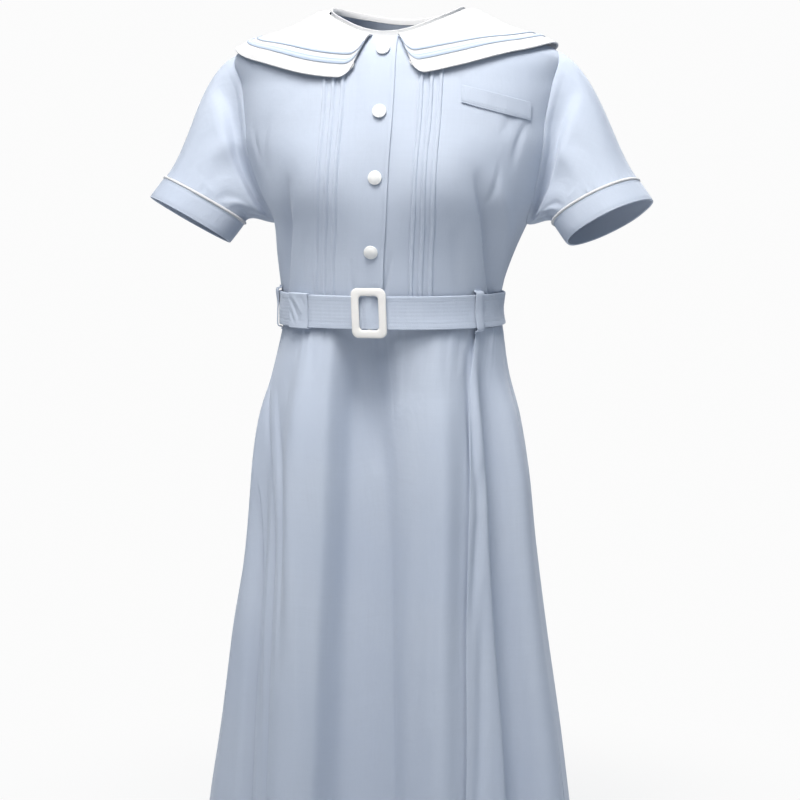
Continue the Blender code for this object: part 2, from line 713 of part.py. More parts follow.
# Keeper: a closed band round both layers of the belt.
KEEPER_ANGLE = -46.0
KEEPER_HALF_SPAN = 7.0
KEEPER_CLOTH = 1.2
KEEPER_COLUMNS = 5
KEEPER_CLEAR_UNDER, KEEPER_CLEAR_OVER, KEEPER_CLEAR_EDGE = 0.8, 1.0, 0.9
keeper_span = np.linspace(-KEEPER_HALF_SPAN, KEEPER_HALF_SPAN, KEEPER_COLUMNS)
keeper_angles = keeper_span + KEEPER_ANGLE
keeper_low = BELT_UNDER - KEEPER_CLEAR_UNDER
keeper_high = BELT_OVER + BELT + KEEPER_CLEAR_OVER
keeper_half = BELT_HALF_HEIGHT + KEEPER_CLEAR_EDGE


def loop_face(angles, low, high, half):
    """Four corners of a band round the belt, as rows."""
    corners = ((low, half), (high, half), (high, -half), (low, -half))
    return np.array([waist(angles, out, level) for out, level in corners])


outer = loop_face(
    keeper_angles,
    keeper_low - KEEPER_CLOTH,
    keeper_high + KEEPER_CLOTH,
    keeper_half + KEEPER_CLOTH,
)
inner = loop_face(keeper_angles, keeper_low, keeper_high, keeper_half)
wall(
    "keeper",
    np.swapaxes(outer, 0, 1),
    np.swapaxes(inner, 0, 1),
    BLUE,
    FABRIC_ROUGHNESS,
    ring=True,
)

# Belt loops: narrow strips over the belt, sewn to the dress above and below it.
LOOP_HALF_WIDTH = 4.8
LOOP_REACH = 26.0
LOOP_FOOT = 0.6
LOOP_CLOTH = 1.1
LOOP_CLEAR_OVER, LOOP_CLEAR_EDGE = 0.6, 0.6
LOOP_FOOT_RUN = 4.5
WAIST_RADIUS = 120.0
LOOPS = (("belt_loop_right", -76.0), ("belt_loop_left", 63.0), ("belt_loop_back", 180.0))
half_angle = np.degrees(LOOP_HALF_WIDTH / WAIST_RADIUS)
loop_high = BELT_UNDER + BELT + LOOP_CLEAR_OVER
loop_half = BELT_HALF_HEIGHT + LOOP_CLEAR_EDGE
# Each step of a loop from its top to its bottom: how far out from the dress, height above the
# belt's middle, and how much thicker and longer its outer face is there.
LOOP_PATH = np.array(
    [
        (LOOP_FOOT, LOOP_REACH, 1.0, 0.0),
        (LOOP_FOOT + 0.2, loop_half + LOOP_FOOT_RUN - 0.6, 1.2, 1.0),
        (loop_high, loop_half, 1.5, 1.2),
        (loop_high, -loop_half, 1.5, -1.2),
        (LOOP_FOOT + 0.2, -loop_half - LOOP_FOOT_RUN + 0.6, 1.2, -1.0),
        (LOOP_FOOT, -LOOP_REACH, 1.0, 0.0),
    ],
    dtype=float,
)
for name, angle in LOOPS:
    pair = angle + np.array([-half_angle, half_angle])
    inner = np.array([waist(pair, out, level) for out, level, _, _ in LOOP_PATH])
    thicker, longer = LOOP_PATH[:, 2, None, None], LOOP_PATH[:, 3, None, None]
    outer = inner + outward(pair, WAIST_ROW) * thicker * LOOP_CLOTH + up * longer
    wall(name, outer, inner, BLUE, FABRIC_ROUGHNESS)

# Buckle: a rounded frame with a bar behind it, on the middle line.
BUCKLE_HALF = (20.6, 28.8)
OPENING_HALF = (11.6, 19.8)
BUCKLE_CORNERS = (8.0, 4.5)
BUCKLE_THICK = 3.6
CORNER_STEPS = 5
BAR_HALF_WIDTH, BAR_THICK = 2.4, 1.9
FRAME_LIFT = BELT_OVER + BELT + 1.6
BAR_OVER_BELT = 0.4
BAR_FOOT = 0.4
BAR_CLEAR_EDGE = 0.7
BAR_ARM = 4.0
# Across the frame's rim from the opening to the outer edge: share of the width, and height.
RIM_PROFILE = (
    (0.0, 0.8),
    (0.1, 0.0),
    (0.9, 0.0),
    (1.0, 0.8),
    (1.0, 2.4),
    (0.82, BUCKLE_THICK),
    (0.18, BUCKLE_THICK),
    (0.0, 2.4),
)


def rounded(half, radius):
    """Points round a rounded rectangle, with the same number at each corner."""
    turns = np.radians(np.linspace(0, 90, CORNER_STEPS))
    points = []
    for k, (x, z) in enumerate(((1, 1), (-1, 1), (-1, -1), (1, -1))):
        centre = np.array([x * (half[0] - radius), z * (half[1] - radius)])
        turn = turns + k * np.pi / 2
        points.append(centre + radius * np.stack([np.cos(turn), np.sin(turn)], axis=-1))
    return np.concatenate(points)


rim, hole = rounded(BUCKLE_HALF, BUCKLE_CORNERS[0]), rounded(OPENING_HALF, BUCKLE_CORNERS[1])
frame = np.array(
    [
        np.column_stack([hole + (rim - hole) * k, np.full(len(rim), high)])
        for k, high in RIM_PROFILE
    ]
)
buckle = hoop("buckle", frame, IVORY, PLASTIC_ROUGHNESS)
bar_back = BELT_UNDER + BELT + BAR_OVER_BELT - FRAME_LIFT
bar_front = bar_back + BAR_THICK
bar_inner, bar_outer = BELT_HALF_HEIGHT + BAR_CLEAR_EDGE, OPENING_HALF[1] + BAR_ARM
bar_side = (
    (-bar_outer, bar_back),
    (bar_outer, bar_back),
    (bar_outer, BAR_FOOT),
    (bar_inner, BAR_FOOT),
    (bar_inner, bar_front),
    (-bar_inner, bar_front),
    (-bar_inner, BAR_FOOT),
    (-bar_outer, BAR_FOOT),
)
bar_points = np.array(
    [(x, z, high) for x in (-BAR_HALF_WIDTH, BAR_HALF_WIDTH) for z, high in bar_side]
)
ring = np.arange(len(bar_side))
bar_faces = [ring.tolist(), (ring + len(ring)).tolist()]
ring = np.append(ring, 0)
bar_faces += squares(np.stack([ring, ring + len(bar_side)])).tolist()
bar = make("buckle_bar_joiner", bar_points, bar_faces, IVORY, PLASTIC_ROUGHNESS)
bar.hide_render = True
bar.display_type = "WIRE"
join = buckle.modifiers.new("bar", "BOOLEAN")
join.operation = "UNION"
join.solver = "EXACT"
join.object = bar
top = waist(0.0, FRAME_LIFT, BELT_HALF_HEIGHT)
bottom = waist(0.0, FRAME_LIFT, -BELT_HALF_HEIGHT)
slope = unit(top - bottom)
sideways = np.array([1.0, 0, 0])
directions = np.stack([sideways, slope, np.cross(sideways, slope)], axis=1)
facing = Matrix(directions.tolist()).to_4x4()
for thing in (buckle, bar):
    thing.matrix_world = Matrix.Translation(Vector((top + bottom) / 2 * METRES)) @ facing

# Buttons: domed discs on the lap of the right front, along the middle line.
BUTTON_ROWS = (2.0, 3.75, 5.6, 7.8)
BUTTON_RADIUS = 8.2
BUTTON_LIFT = 0.8
BUTTON_STEPS = 20
# Share of the radius and height, from the back of a button to the middle of its dome.
BUTTON_PROFILE = ((0.78, 0.0), (0.97, 0.8), (1.0, 1.7), (0.9, 2.9), (0.62, 3.9), (0.3, 4.3))
turns = np.radians(np.arange(BUTTON_STEPS) * 360 / BUTTON_STEPS)
rings = [
    np.column_stack(
        [
            BUTTON_RADIUS * share * np.cos(turns),
            BUTTON_RADIUS * share * np.sin(turns),
            np.full(BUTTON_STEPS, high),
        ]
    )
    for share, high in BUTTON_PROFILE
]
number = np.arange(len(rings) * BUTTON_STEPS).reshape(len(rings), BUTTON_STEPS)
number = np.concatenate([number, number[:, :1]], axis=1)
faces = [*squares(number).tolist(), number[0, :-1].tolist(), number[-1, :-1].tolist()]
for count, row in enumerate(BUTTON_ROWS, start=1):
    button = make(f"button_{count}", np.concatenate(rings), faces, WHITE, PLASTIC_ROUGHNESS)
    button.location = Vector(cloth(0.0, row, LAP + BUTTON_LIFT) * METRES)
    normal = Vector(outward(0.0, row))
    button.rotation_euler = normal.to_track_quat("Z", "Y").to_euler()
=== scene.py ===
"""The looks of a short-sleeved nurse uniform dress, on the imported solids. Every cloth piece is
a thin shell on its solid's form, with the folds, tucks and seams of the worn dress. The front
faces -Y and the wearer's left is +X. Sizes are in millimetres and angles in degrees; the
meshes are made in metres."""

import bmesh
import bpy
import numpy as np
from mathutils import Matrix, Vector


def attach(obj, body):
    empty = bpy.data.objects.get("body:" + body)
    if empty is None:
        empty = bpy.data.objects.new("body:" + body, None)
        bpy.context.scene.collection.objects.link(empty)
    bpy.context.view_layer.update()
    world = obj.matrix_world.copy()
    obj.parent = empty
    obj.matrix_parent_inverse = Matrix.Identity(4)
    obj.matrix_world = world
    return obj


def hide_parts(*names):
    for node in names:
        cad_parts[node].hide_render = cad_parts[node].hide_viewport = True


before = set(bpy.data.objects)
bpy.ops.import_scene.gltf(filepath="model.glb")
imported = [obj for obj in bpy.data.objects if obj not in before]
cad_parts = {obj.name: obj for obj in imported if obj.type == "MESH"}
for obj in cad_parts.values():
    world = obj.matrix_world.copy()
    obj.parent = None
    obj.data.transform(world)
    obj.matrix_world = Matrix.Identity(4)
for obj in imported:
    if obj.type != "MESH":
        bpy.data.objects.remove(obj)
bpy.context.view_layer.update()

# Studio: a pale floor that runs out into a pale room, a broad and a high lamp in front, a
# weaker one at each side, one behind, and the camera at the photograph's angle.
FLOOR_HEIGHT = -1.0135
FLOOR_RADIUS, FLOOR_TURNS = 12.0, 96
FLOOR_RINGS = np.array([0.0, 0.05, 0.12, 0.25, 0.5, 1.0])
FADE_START, FADE_END = 0.025, 0.11
BACKDROP_COLOUR, BACKDROP_STRENGTH = (1.0, 1.0, 1.0, 1.0), 0.97
ROOM_COLOUR, ROOM_STRENGTH = (0.55, 0.74, 1.0, 1.0), 0.16
CAMERA_AZIMUTH, CAMERA_ELEVATION, CAMERA_DISTANCE = 12.0, 0.6, 2.8
CAMERA_TARGET = np.array([0.0, 0.0, -0.17])
LENS, SENSOR = 105.0, 36.0
SHIFT_X, SHIFT_Y = 0.01, -0.285
LAMP_TARGET = np.array([0.0, 0.0, -0.35])
# Each lamp: azimuth and elevation round the dress, distance and width in metres, watts, colour.
LAMPS = {
    "broad_lamp": (-8.0, 42.0, 2.2, 1.2, 26.0, (1.0, 0.975, 0.94)),
    "high_lamp": (4.0, 60.0, 1.45, 0.6, 25.5, (1.0, 0.97, 0.92)),
    "left_lamp": (-70.0, 48.0, 2.0, 1.0, 4.6, (0.92, 0.96, 1.0)),
    "right_lamp": (70.0, 28.0, 2.0, 1.2, 5.5, (0.86, 0.93, 1.0)),
    "back_lamp": (168.0, 48.0, 2.2, 0.8, 38.0, (1.0, 0.98, 0.95)),
}


def round_the_dress(azimuth, elevation, distance):
    """The place at an azimuth, 0 being in front and positive towards +X, and an elevation."""
    a, e = np.radians(azimuth), np.radians(elevation)
    way = np.array([np.sin(a) * np.cos(e), -np.cos(a) * np.cos(e), np.sin(e)])
    return CAMERA_TARGET + way * distance


def aim(thing, place, target):
    """Puts a lamp or the camera at a place, turned so that its -Z points at the target."""
    thing.location = Vector(place)
    thing.rotation_euler = Vector(target - place).to_track_quat("-Z", "Y").to_euler()


def put_in(name, data):
    """An object with some data, in the scene."""
    made = bpy.data.objects.new(name, data)
    bpy.context.collection.objects.link(made)
    return made


for name, (azimuth, elevation, distance, width, watts, colour) in LAMPS.items():
    lamp = bpy.data.lights.new(name, "AREA")
    lamp.shape = "DISK"
    lamp.size = width
    lamp.energy = watts
    lamp.color = colour
    aim(put_in(name, lamp), round_the_dress(azimuth, elevation, distance), LAMP_TARGET)

camera = bpy.data.cameras.new("camera")
camera.lens, camera.sensor_width = LENS, SENSOR
camera.shift_x, camera.shift_y = SHIFT_X, SHIFT_Y
camera_object = put_in("camera", camera)
camera_place = round_the_dress(CAMERA_AZIMUTH, CAMERA_ELEVATION, CAMERA_DISTANCE)
aim(camera_object, camera_place, CAMERA_TARGET)
bpy.context.scene.camera = camera_object

bpy.context.scene.view_settings.view_transform = "Standard"


def fill(node, **sockets):
    """Sets or links some of a shader node's sockets, named with _ for a blank or numbered as
    _0, and its other settings, named in lower case as in Blender."""
    for key, value in sockets.items():
        if hasattr(node, key):
            setattr(node, key, value)
            continue
        named = key.replace("_", " ")
        socket = node.inputs[int(key[1:]) if key[1:].isdigit() else named]
        if isinstance(value, bpy.types.NodeSocket):
            node.id_data.links.new(value, socket)
        else:
            socket.default_value = value
    return node


def add(nodes, kind, **sockets):
    """A new shader node, filled in."""
    return fill(nodes.new("ShaderNode" + kind), **sockets)


def squares(number):
    """Four-sided faces between neighbouring points of a numbered grid."""
    corners = [number[:-1, :-1], number[:-1, 1:], number[1:, 1:], number[1:, :-1]]
    return np.stack(corners, axis=-1).reshape(-1, 4)


def numbered(*shape):
    """The numbers of a grid's points."""
    return np.arange(np.prod(shape)).reshape(shape)


def joined_up(values, axis=1):
    """A grid with its first column, or its first row, once more at its end."""
    return np.concatenate([values, values.take([0], axis)], axis)


# The backdrop shows white behind the dress, and lights it only dimly.
room = bpy.data.worlds.new("room")
room.use_nodes = True
nodes = room.node_tree.nodes
nodes.clear()
seen = add(nodes, "LightPath")
dim = add(nodes, "Background", Color=ROOM_COLOUR, Strength=ROOM_STRENGTH)
bright = add(nodes, "Background", Color=BACKDROP_COLOUR, Strength=BACKDROP_STRENGTH)
backdrop = add(
    nodes,
    "MixShader",
    _0=seen.outputs["Is Camera Ray"],
    _1=dim.outputs["Background"],
    _2=bright.outputs["Background"],
)
add(nodes, "OutputWorld", Surface=backdrop.outputs["Shader"])
bpy.context.scene.world = room

floor_turn = np.linspace(0, 2 * np.pi, FLOOR_TURNS + 1)[:-1]
floor_ways = np.stack([np.cos(floor_turn), np.sin(floor_turn), 0 * floor_turn], axis=-1)
floor_points = FLOOR_RADIUS * FLOOR_RINGS[:, None, None] * floor_ways + [0, 0, FLOOR_HEIGHT]
floor_number = joined_up(numbered(len(FLOOR_RINGS), FLOOR_TURNS))
floor_mesh = bpy.data.meshes.new("floor")
floor_faces = squares(floor_number.T)
floor_mesh.from_pydata(floor_points.reshape(-1, 3).tolist(), [], floor_faces.tolist())
floor = put_in("floor", floor_mesh)
pale_floor = bpy.data.materials.new("pale_floor")
pale_floor.use_nodes = True
nodes = pale_floor.node_tree.nodes
nodes.clear()
place = add(nodes, "TexCoord")
reach = add(nodes, "VectorMath", operation="LENGTH", _0=place.outputs["Object"])
fade = add(
    nodes,
    "MapRange",
    interpolation_type="SMOOTHSTEP",
    Value=reach.outputs["Value"],
    From_Min=FADE_START * FLOOR_RADIUS,
    From_Max=FADE_END * FLOOR_RADIUS,
)
seen = add(nodes, "LightPath")
whitened = add(
    nodes,
    "Math",
    operation="MULTIPLY",
    _0=fade.outputs["Result"],
    _1=seen.outputs["Is Camera Ray"],
)
matt = add(nodes, "BsdfDiffuse", Color=(0.7, 0.71, 0.72, 1.0), Roughness=0.9)
far = add(nodes, "Emission", Color=BACKDROP_COLOUR, Strength=BACKDROP_STRENGTH)
mix = add(
    nodes,
    "MixShader",
    _0=whitened.outputs["Value"],
    _1=matt.outputs["BSDF"],
    _2=far.outputs["Emission"],
)
add(nodes, "OutputMaterial", Surface=mix.outputs["Shader"])
floor_mesh.materials.append(pale_floor)

# Bodice fronts: two panels of pale blue poplin, each with three raised pintucks from the collar
# to the belt. The wearer's right laps over the left and is topstitched along its edge. They are
# sewn to the back at the sides and shoulders, and to the skirt under the belt.
METRES = 0.001
UP = np.array([0, 0, 1.0])
CLOTH = 1.1
NECK_ROW, SHOULDER_ROW, UNDERARM_ROW, WAIST_ROW, HEM_ROW = 0.0, 2.0, 7.0, 10.0, 19.0
NECK_FRONT_ROW, NECK_BACK_ROW = 1.5, 0.6
ARM_STEPS = 56
ARM_FRONT_DEPTH, ARM_BACK_DEPTH, ARM_ROUNDNESS = 48.0, 56.0, 0.55
FIT_ROUNDS = 8
GAP = 0.3
LAP = 2.1
LAP_HALF, LAP_ENDS, PAST_TUCKS = 15.0, 30.0, 75.0
# The worn shape from the neck down: height, half widths on the wearer's right and left, depth
# in front of the side line and behind it, lean to the wearer's left, and squareness (2 is an
# ellipse).
SECTIONS = np.array(
    [
        (20, 80, 80, 58, 56, 9, 2.0),
        (0, 129, 126, 73, 66, 10, 2.1),
        (-27, 199, 190, 94, 82, 10, 2.2),
        (-67, 194, 195, 107, 94, 10.5, 2.3),
        (-110, 190, 192, 117, 101, 10, 2.3),
        (-145, 184, 190, 122, 104, 8.5, 2.3),
        (-195, 163, 177, 123, 104, 6, 2.25),
        (-231, 142, 160, 119, 103, 3, 2.2),
        (-268, 132, 147, 112, 100, -1, 2.2),
        (-305, 127, 136, 107, 98, -3, 2.2),
        (-332, 127, 132, 105, 97, -3, 2.2),
        (-357, 130, 134, 108, 101, -1, 2.2),
        (-410, 142, 141, 118, 113, -1, 2.2),
        (-464, 154, 154, 127, 124, -1, 2.2),
        (-535, 162, 163, 135, 135, 0, 2.2),
        (-618, 170, 170, 141, 143, 0, 2.2),
        (-717, 187, 183, 149, 151, -1, 2.2),
        (-830, 201, 199, 158, 160, -1, 2.2),
        (-919, 213, 211, 165, 167, -2, 2.2),
        (-1005, 223, 221, 171, 174, -2, 2.2),
    ],
    dtype=[
        (name, float)
        for name in ("height", "right", "left", "front", "back", "lean", "power")
    ],
)
CUP_X, CUP_Z, CUP_SPAN_X, CUP_SPAN_Z, CUP_RISE = 76.0, -178.0, 50.0, 48.0, 12.0
# Large soft folds, from the first row to the last: angle at each end, half width in degrees and
# depth in mm, below nought for a valley.
FOLDS = np.array(
    [
        (5.2, 10.0, 45, 84, 5, -7),
        (5.4, 10.0, 55, 94, 5, 5),
        (5.2, 10.0, -44, -72, 5, -6),
        (5.4, 10.0, -56, -84, 6, 5),
        (6.0, 10.0, 128, 132, 7, -5),
        (6.0, 10.0, -128, -132, 7, -5),
        (12.5, 28.0, -63, -24, 3.6, -12),
        (10.2, 28.0, -42, -8, 9, 10),
        (10.2, 28.0, -7, 6, 12, -13),
        (10.2, 28.0, 40, 16, 9, 10),
        (10.2, 28.0, 67, 60, 5, -14),
        (10.2, 28.0, 82, 76, 7, 8),
        (10.2, 28.0, -90, -78, 7, 6),
        (10.2, 28.0, 112, 110, 9, 9),
        (10.2, 28.0, 132, 130, 8, -12),
        (10.2, 28.0, 154, 152, 10, 9),
        (10.2, 28.0, 176, 176, 8, -11),
        (10.2, 28.0, 200, 202, 10, 9),
        (10.2, 28.0, 224, 226, 8, -12),
        (10.2, 28.0, 246, 248, 9, 8),
    ],
    dtype=[
        (name, float)
        for name in ("first", "last", "first_angle", "last_angle", "width", "depth")
    ],
)


def through(values, at):
    """The smooth curve through values, the first at 0 and one for each whole number."""
    last = len(values) - 1
    ends = np.concatenate([[2 * values[0] - values[1]], values, [2 * values[-1] - values[-2]]])
    before = np.clip(np.floor(at).astype(int), 0, last - 1)
    t = at - before
    p, q, r, s = (ends[before + k] for k in range(4))
    cubic = 1.5 * (q - r) + 0.5 * (s - p)
    return q + 0.5 * (r - p) * t + (p - 2.5 * q + 2 * r - 0.5 * s) * t**2 + cubic * t**3


def column(name, row):
    """A column of the worn shape's table, smooth between its rows."""
    return through(SECTIONS[name], np.asarray(row, float))


def drape(angle, row):
    """How far the large folds stand out: a bell across each, a sine from its first row to its
    last."""
    out = np.zeros(np.broadcast(angle, row).shape)
    for fold in FOLDS:
        along = np.clip((row - fold["first"]) / (fold["last"] - fold["first"]), 0, 1)
        middle = fold["first_angle"] + (fold["last_angle"] - fold["first_angle"]) * along
        off = (angle - middle + 180) % 360 - 180
        out = out + fold["depth"] * np.exp(-((off / fold["width"]) ** 2)) * np.sin(np.pi * along)
    return out


def body(angle, row):
    """The worn dress's outer face: at each row a squared oval |x/a|^p + |y/b|^p = 1, with the
    large folds and two rounded cups added."""
    angle, row = np.broadcast_arrays(np.asarray(angle, float), np.asarray(row, float))
    across, ahead = np.sin(np.radians(angle)), np.cos(np.radians(angle))
    half = np.where(across > 0, column("left", row), column("right", row))
    depth = np.where(ahead > 0, column("front", row), column("back", row))
    power = column("power", row)
    oval = np.abs(across / half) ** power + np.abs(ahead / depth) ** power
    reach = oval ** (-1 / power) + drape(angle, row)
    height = column("height", row)
    beside = (np.abs(reach * across) - CUP_X) / CUP_SPAN_X
    above = (height - CUP_Z) / CUP_SPAN_Z
    cup = CUP_RISE * np.exp(-(beside**2) - above**2) * np.clip(ahead, 0, 1)
    return np.stack([column("lean", row) + reach * across, -reach * ahead - cup, height], axis=-1)


def unit(vectors):
    """Vectors of length 1, the same way."""
    return vectors / np.linalg.norm(vectors, axis=-1, keepdims=True)


def outward(angle, row):
    """The unit normal of the outer face, from small steps of angle and row."""
    row = np.asarray(row, float)
    across = body(angle + 0.3, row) - body(angle - 0.3, row)
    down = body(angle, row + 0.03) - body(angle, row - 0.03)
    return unit(np.cross(down, across))


def cloth(angle, row, out):
    """A point of the outer face, moved out along its normal by some mm."""
    angle, row, out = np.broadcast_arrays(angle, row, np.asarray(out, float))
    return body(angle, row) + outward(angle, row) * out[..., None]


def angle_at(distance, row):
    """The angle of the front point that lies some distance across from the middle line."""
    across = np.abs(distance)
    half = np.where(np.asarray(distance) > 0, column("left", row), column("right", row))
    power = column("power", row)
    ahead = column("front", row) * (1 - (across / half) ** power) ** (1 / power)
    return np.degrees(np.arctan2(distance, ahead))


def armhole_angle(row, depth):
    """The angle of the armhole's edge at a row, which goes depth mm in front of the side line,
    or behind it if depth is below nought."""
    share = np.clip((UNDERARM_ROW - row) / (UNDERARM_ROW - SHOULDER_ROW), 0, 1)
    ahead = depth * np.sin(np.pi * share) ** ARM_ROUNDNESS
    half = (column("left", row) + column("right", row)) / 2
    face = column("front", row) if depth > 0 else column("back", row)
    power = column("power", row)
    across = half * (1 - np.abs(ahead / face) ** power) ** (1 / power)
    return np.degrees(np.arctan2(across, ahead))


def side_rows():
    """Rows from the waist up the side seam, round the armhole and along the shoulder seam."""
    half_turn = np.linspace(0, np.pi, ARM_STEPS + 1)
    arm = UNDERARM_ROW - (UNDERARM_ROW - SHOULDER_ROW) * (1 - np.cos(half_turn)) / 2
    below = np.linspace(WAIST_ROW - 0.006, UNDERARM_ROW, 46)[:-1]
    above = np.linspace(SHOULDER_ROW, NECK_ROW, 16)[1:]
    return np.concatenate([below, arm, above])


def middle_rows(neck_row):
    """The rows at the middle line that go with side_rows, up to the neck edge."""
    share = (WAIST_ROW - side_rows()) / (WAIST_ROW - NECK_ROW)
    return WAIST_ROW - (WAIST_ROW - neck_row) * share


def wave(along, lengths, phases, sizes):
    """An uneven wave: sines of several lengths, phases and sizes, added."""
    parts = [s * np.sin(2 * np.pi * along / n + p) for n, p, s in zip(lengths, phases, sizes)]
    return sum(parts)


def creases(table, x, y):
    """Heights of soft troughs and ridges on a flat plan in mm. Each runs from (x1, y1) to
    (x2, y2), bows sideways by bow mm, and has a bell across it of half width left and right of
    its line; its depth swells from nought at its ends as a sine to the power of 0.7."""
    out = np.zeros(np.broadcast(x, y).shape)
    for crease in table:
        start = np.array([crease["x1"], crease["y1"]])
        run = np.array([crease["x2"], crease["y2"]]) - start
        length = np.hypot(*run)
        along = ((x - start[0]) * run[0] + (y - start[1]) * run[1]) / length**2
        off = ((y - start[1]) * run[0] - (x - start[0]) * run[1]) / length
        off = off - crease["bow"] * 4 * along * (1 - along)
        inside = np.clip(along, 0, 1)
        width = np.where(off < 0, crease["left"], crease["right"])
        swell = np.sin(np.pi * inside) ** 0.7
        out = out + crease["depth"] * np.exp(-((off / width) ** 2)) * swell
    return out


def crease_table(*rows):
    """The creases' table, with named columns."""
    names = ("x1", "y1", "x2", "y2", "bow", "left", "right", "depth")
    return np.array(list(rows), dtype=[(name, float) for name in names])


def plan(angle, row):
    """A flat plan of the dress for its creases: x runs round it from the middle front, at the
    girth that goes with the row, and y is the height."""
    girth = np.radians(1) * (column("left", row) + column("right", row)) / 2
    return angle * girth, column("height", row)


def laid_flat(grid, ring):
    """Where each point of a grid lies on the flat cloth, in metres: the length along its row
    from the middle column, and down its column from the first row."""
    steps = np.linalg.norm(np.diff(grid, axis=1), axis=-1)
    across = np.concatenate([np.zeros((len(grid), 1)), np.cumsum(steps, axis=1)], axis=1)
    steps = np.linalg.norm(np.diff(grid, axis=0), axis=-1)
    down = np.concatenate([np.zeros((1, grid.shape[1])), np.cumsum(steps, axis=0)])
    if not ring:
        across = across - across[:, grid.shape[1] // 2, None]
    return np.stack([across, down], axis=-1) * METRES


def grid_normals(grid, inside, ring):
    """Unit normals of a grid of points, away from the points or axis inside it."""
    if ring:
        across = np.roll(grid, -1, axis=1) - np.roll(grid, 1, axis=1)
    else:
        across = np.gradient(grid, axis=1)
    normals = unit(np.cross(np.gradient(grid, axis=0), across))
    return normals * np.sign((normals * (grid - inside)).sum())


def mesh_object(name, points, faces, flat, material, sharp=50.0):
    """A smooth-shaded object, turned outward, with its flat lay in metres as its UV map. Where
    a face spans the join of a ring, its UVs run on past the join."""
    mesh = bpy.data.meshes.new(name)
    mesh.from_pydata((points * METRES).tolist(), [], faces.tolist())
    corners = flat[faces]
    along = corners[..., 0]
    total = flat[:, 0].max() - flat[:, 0].min()
    wraps = (along.max(axis=1) - along.min(axis=1) > total / 2)[:, None]
    middle = (flat[:, 0].max() + flat[:, 0].min()) / 2
    corners[..., 0] = along + np.where(wraps & (along < middle), total, 0)
    layer = mesh.uv_layers.new(name="cloth")
    layer.data.foreach_set("uv", corners.reshape(-1).astype(np.float32))
    made = bmesh.new()
    made.from_mesh(mesh)
    bmesh.ops.recalc_face_normals(made, faces=made.faces)
    made.to_mesh(mesh)
    made.free()
    mesh.shade_smooth()
    mesh.set_sharp_from_angle(angle=np.radians(sharp))
    mesh.materials.append(material)
    piece = bpy.data.objects.new(name, mesh)
    bpy.context.collection.objects.link(piece)
    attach(piece, "root")
    return piece


def shell(name, grid, thick, material, ring=False, inside=None):
    """A cloth shell: the grid is its outer face, the inner face lies thick mm within it along
    the normals, and the rims between them bulge by a third of the thickness."""
    inside = grid * UP if inside is None else inside
    normals = grid_normals(grid, inside, ring)
    inner = grid - normals * thick
    rows, columns = grid.shape[:2]
    number = np.arange(rows * columns).reshape(rows, columns)
    middle = (grid + inner) / 2
    top = middle[0] + unit(grid[0] - grid[1]) * thick / 3
    bottom = middle[-1] + unit(grid[-1] - grid[-2]) * thick / 3
    flat = laid_flat(grid, ring)
    if ring:
        rims = [top, bottom]
        rim_flat = [flat[0], flat[-1]]
        loops = [number[0], number[-1]]
    else:
        left = middle[:, 0] + unit(grid[:, 0] - grid[:, 1]) * thick / 3
        right = middle[:, -1] + unit(grid[:, -1] - grid[:, -2]) * thick / 3
        rims = [np.concatenate([top[:-1], right[:-1], bottom[:0:-1], left[:0:-1]])]
        rim_flat = [np.concatenate([flat[0, :-1], flat[:-1, -1], flat[-1, :0:-1], flat[:0:-1, 0]])]
        loops = [
            np.concatenate([number[0, :-1], number[:-1, -1], number[-1, :0:-1], number[:0:-1, 0]])
        ]
    wrapped = joined_up(number) if ring else number
    faces = [squares(wrapped), squares(wrapped + rows * columns)]
    first = 2 * rows * columns
    for loop in loops:
        rim = np.arange(len(loop)) + first
        first += len(loop)
        strip = np.stack([loop, rim, loop + rows * columns])
        faces.append(squares(joined_up(strip)))
    points = np.concatenate([grid.reshape(-1, 3), inner.reshape(-1, 3), *rims])
    flat = np.concatenate([flat.reshape(-1, 2), flat.reshape(-1, 2), *rim_flat])
    return mesh_object(name, points, np.concatenate(faces), flat, material)


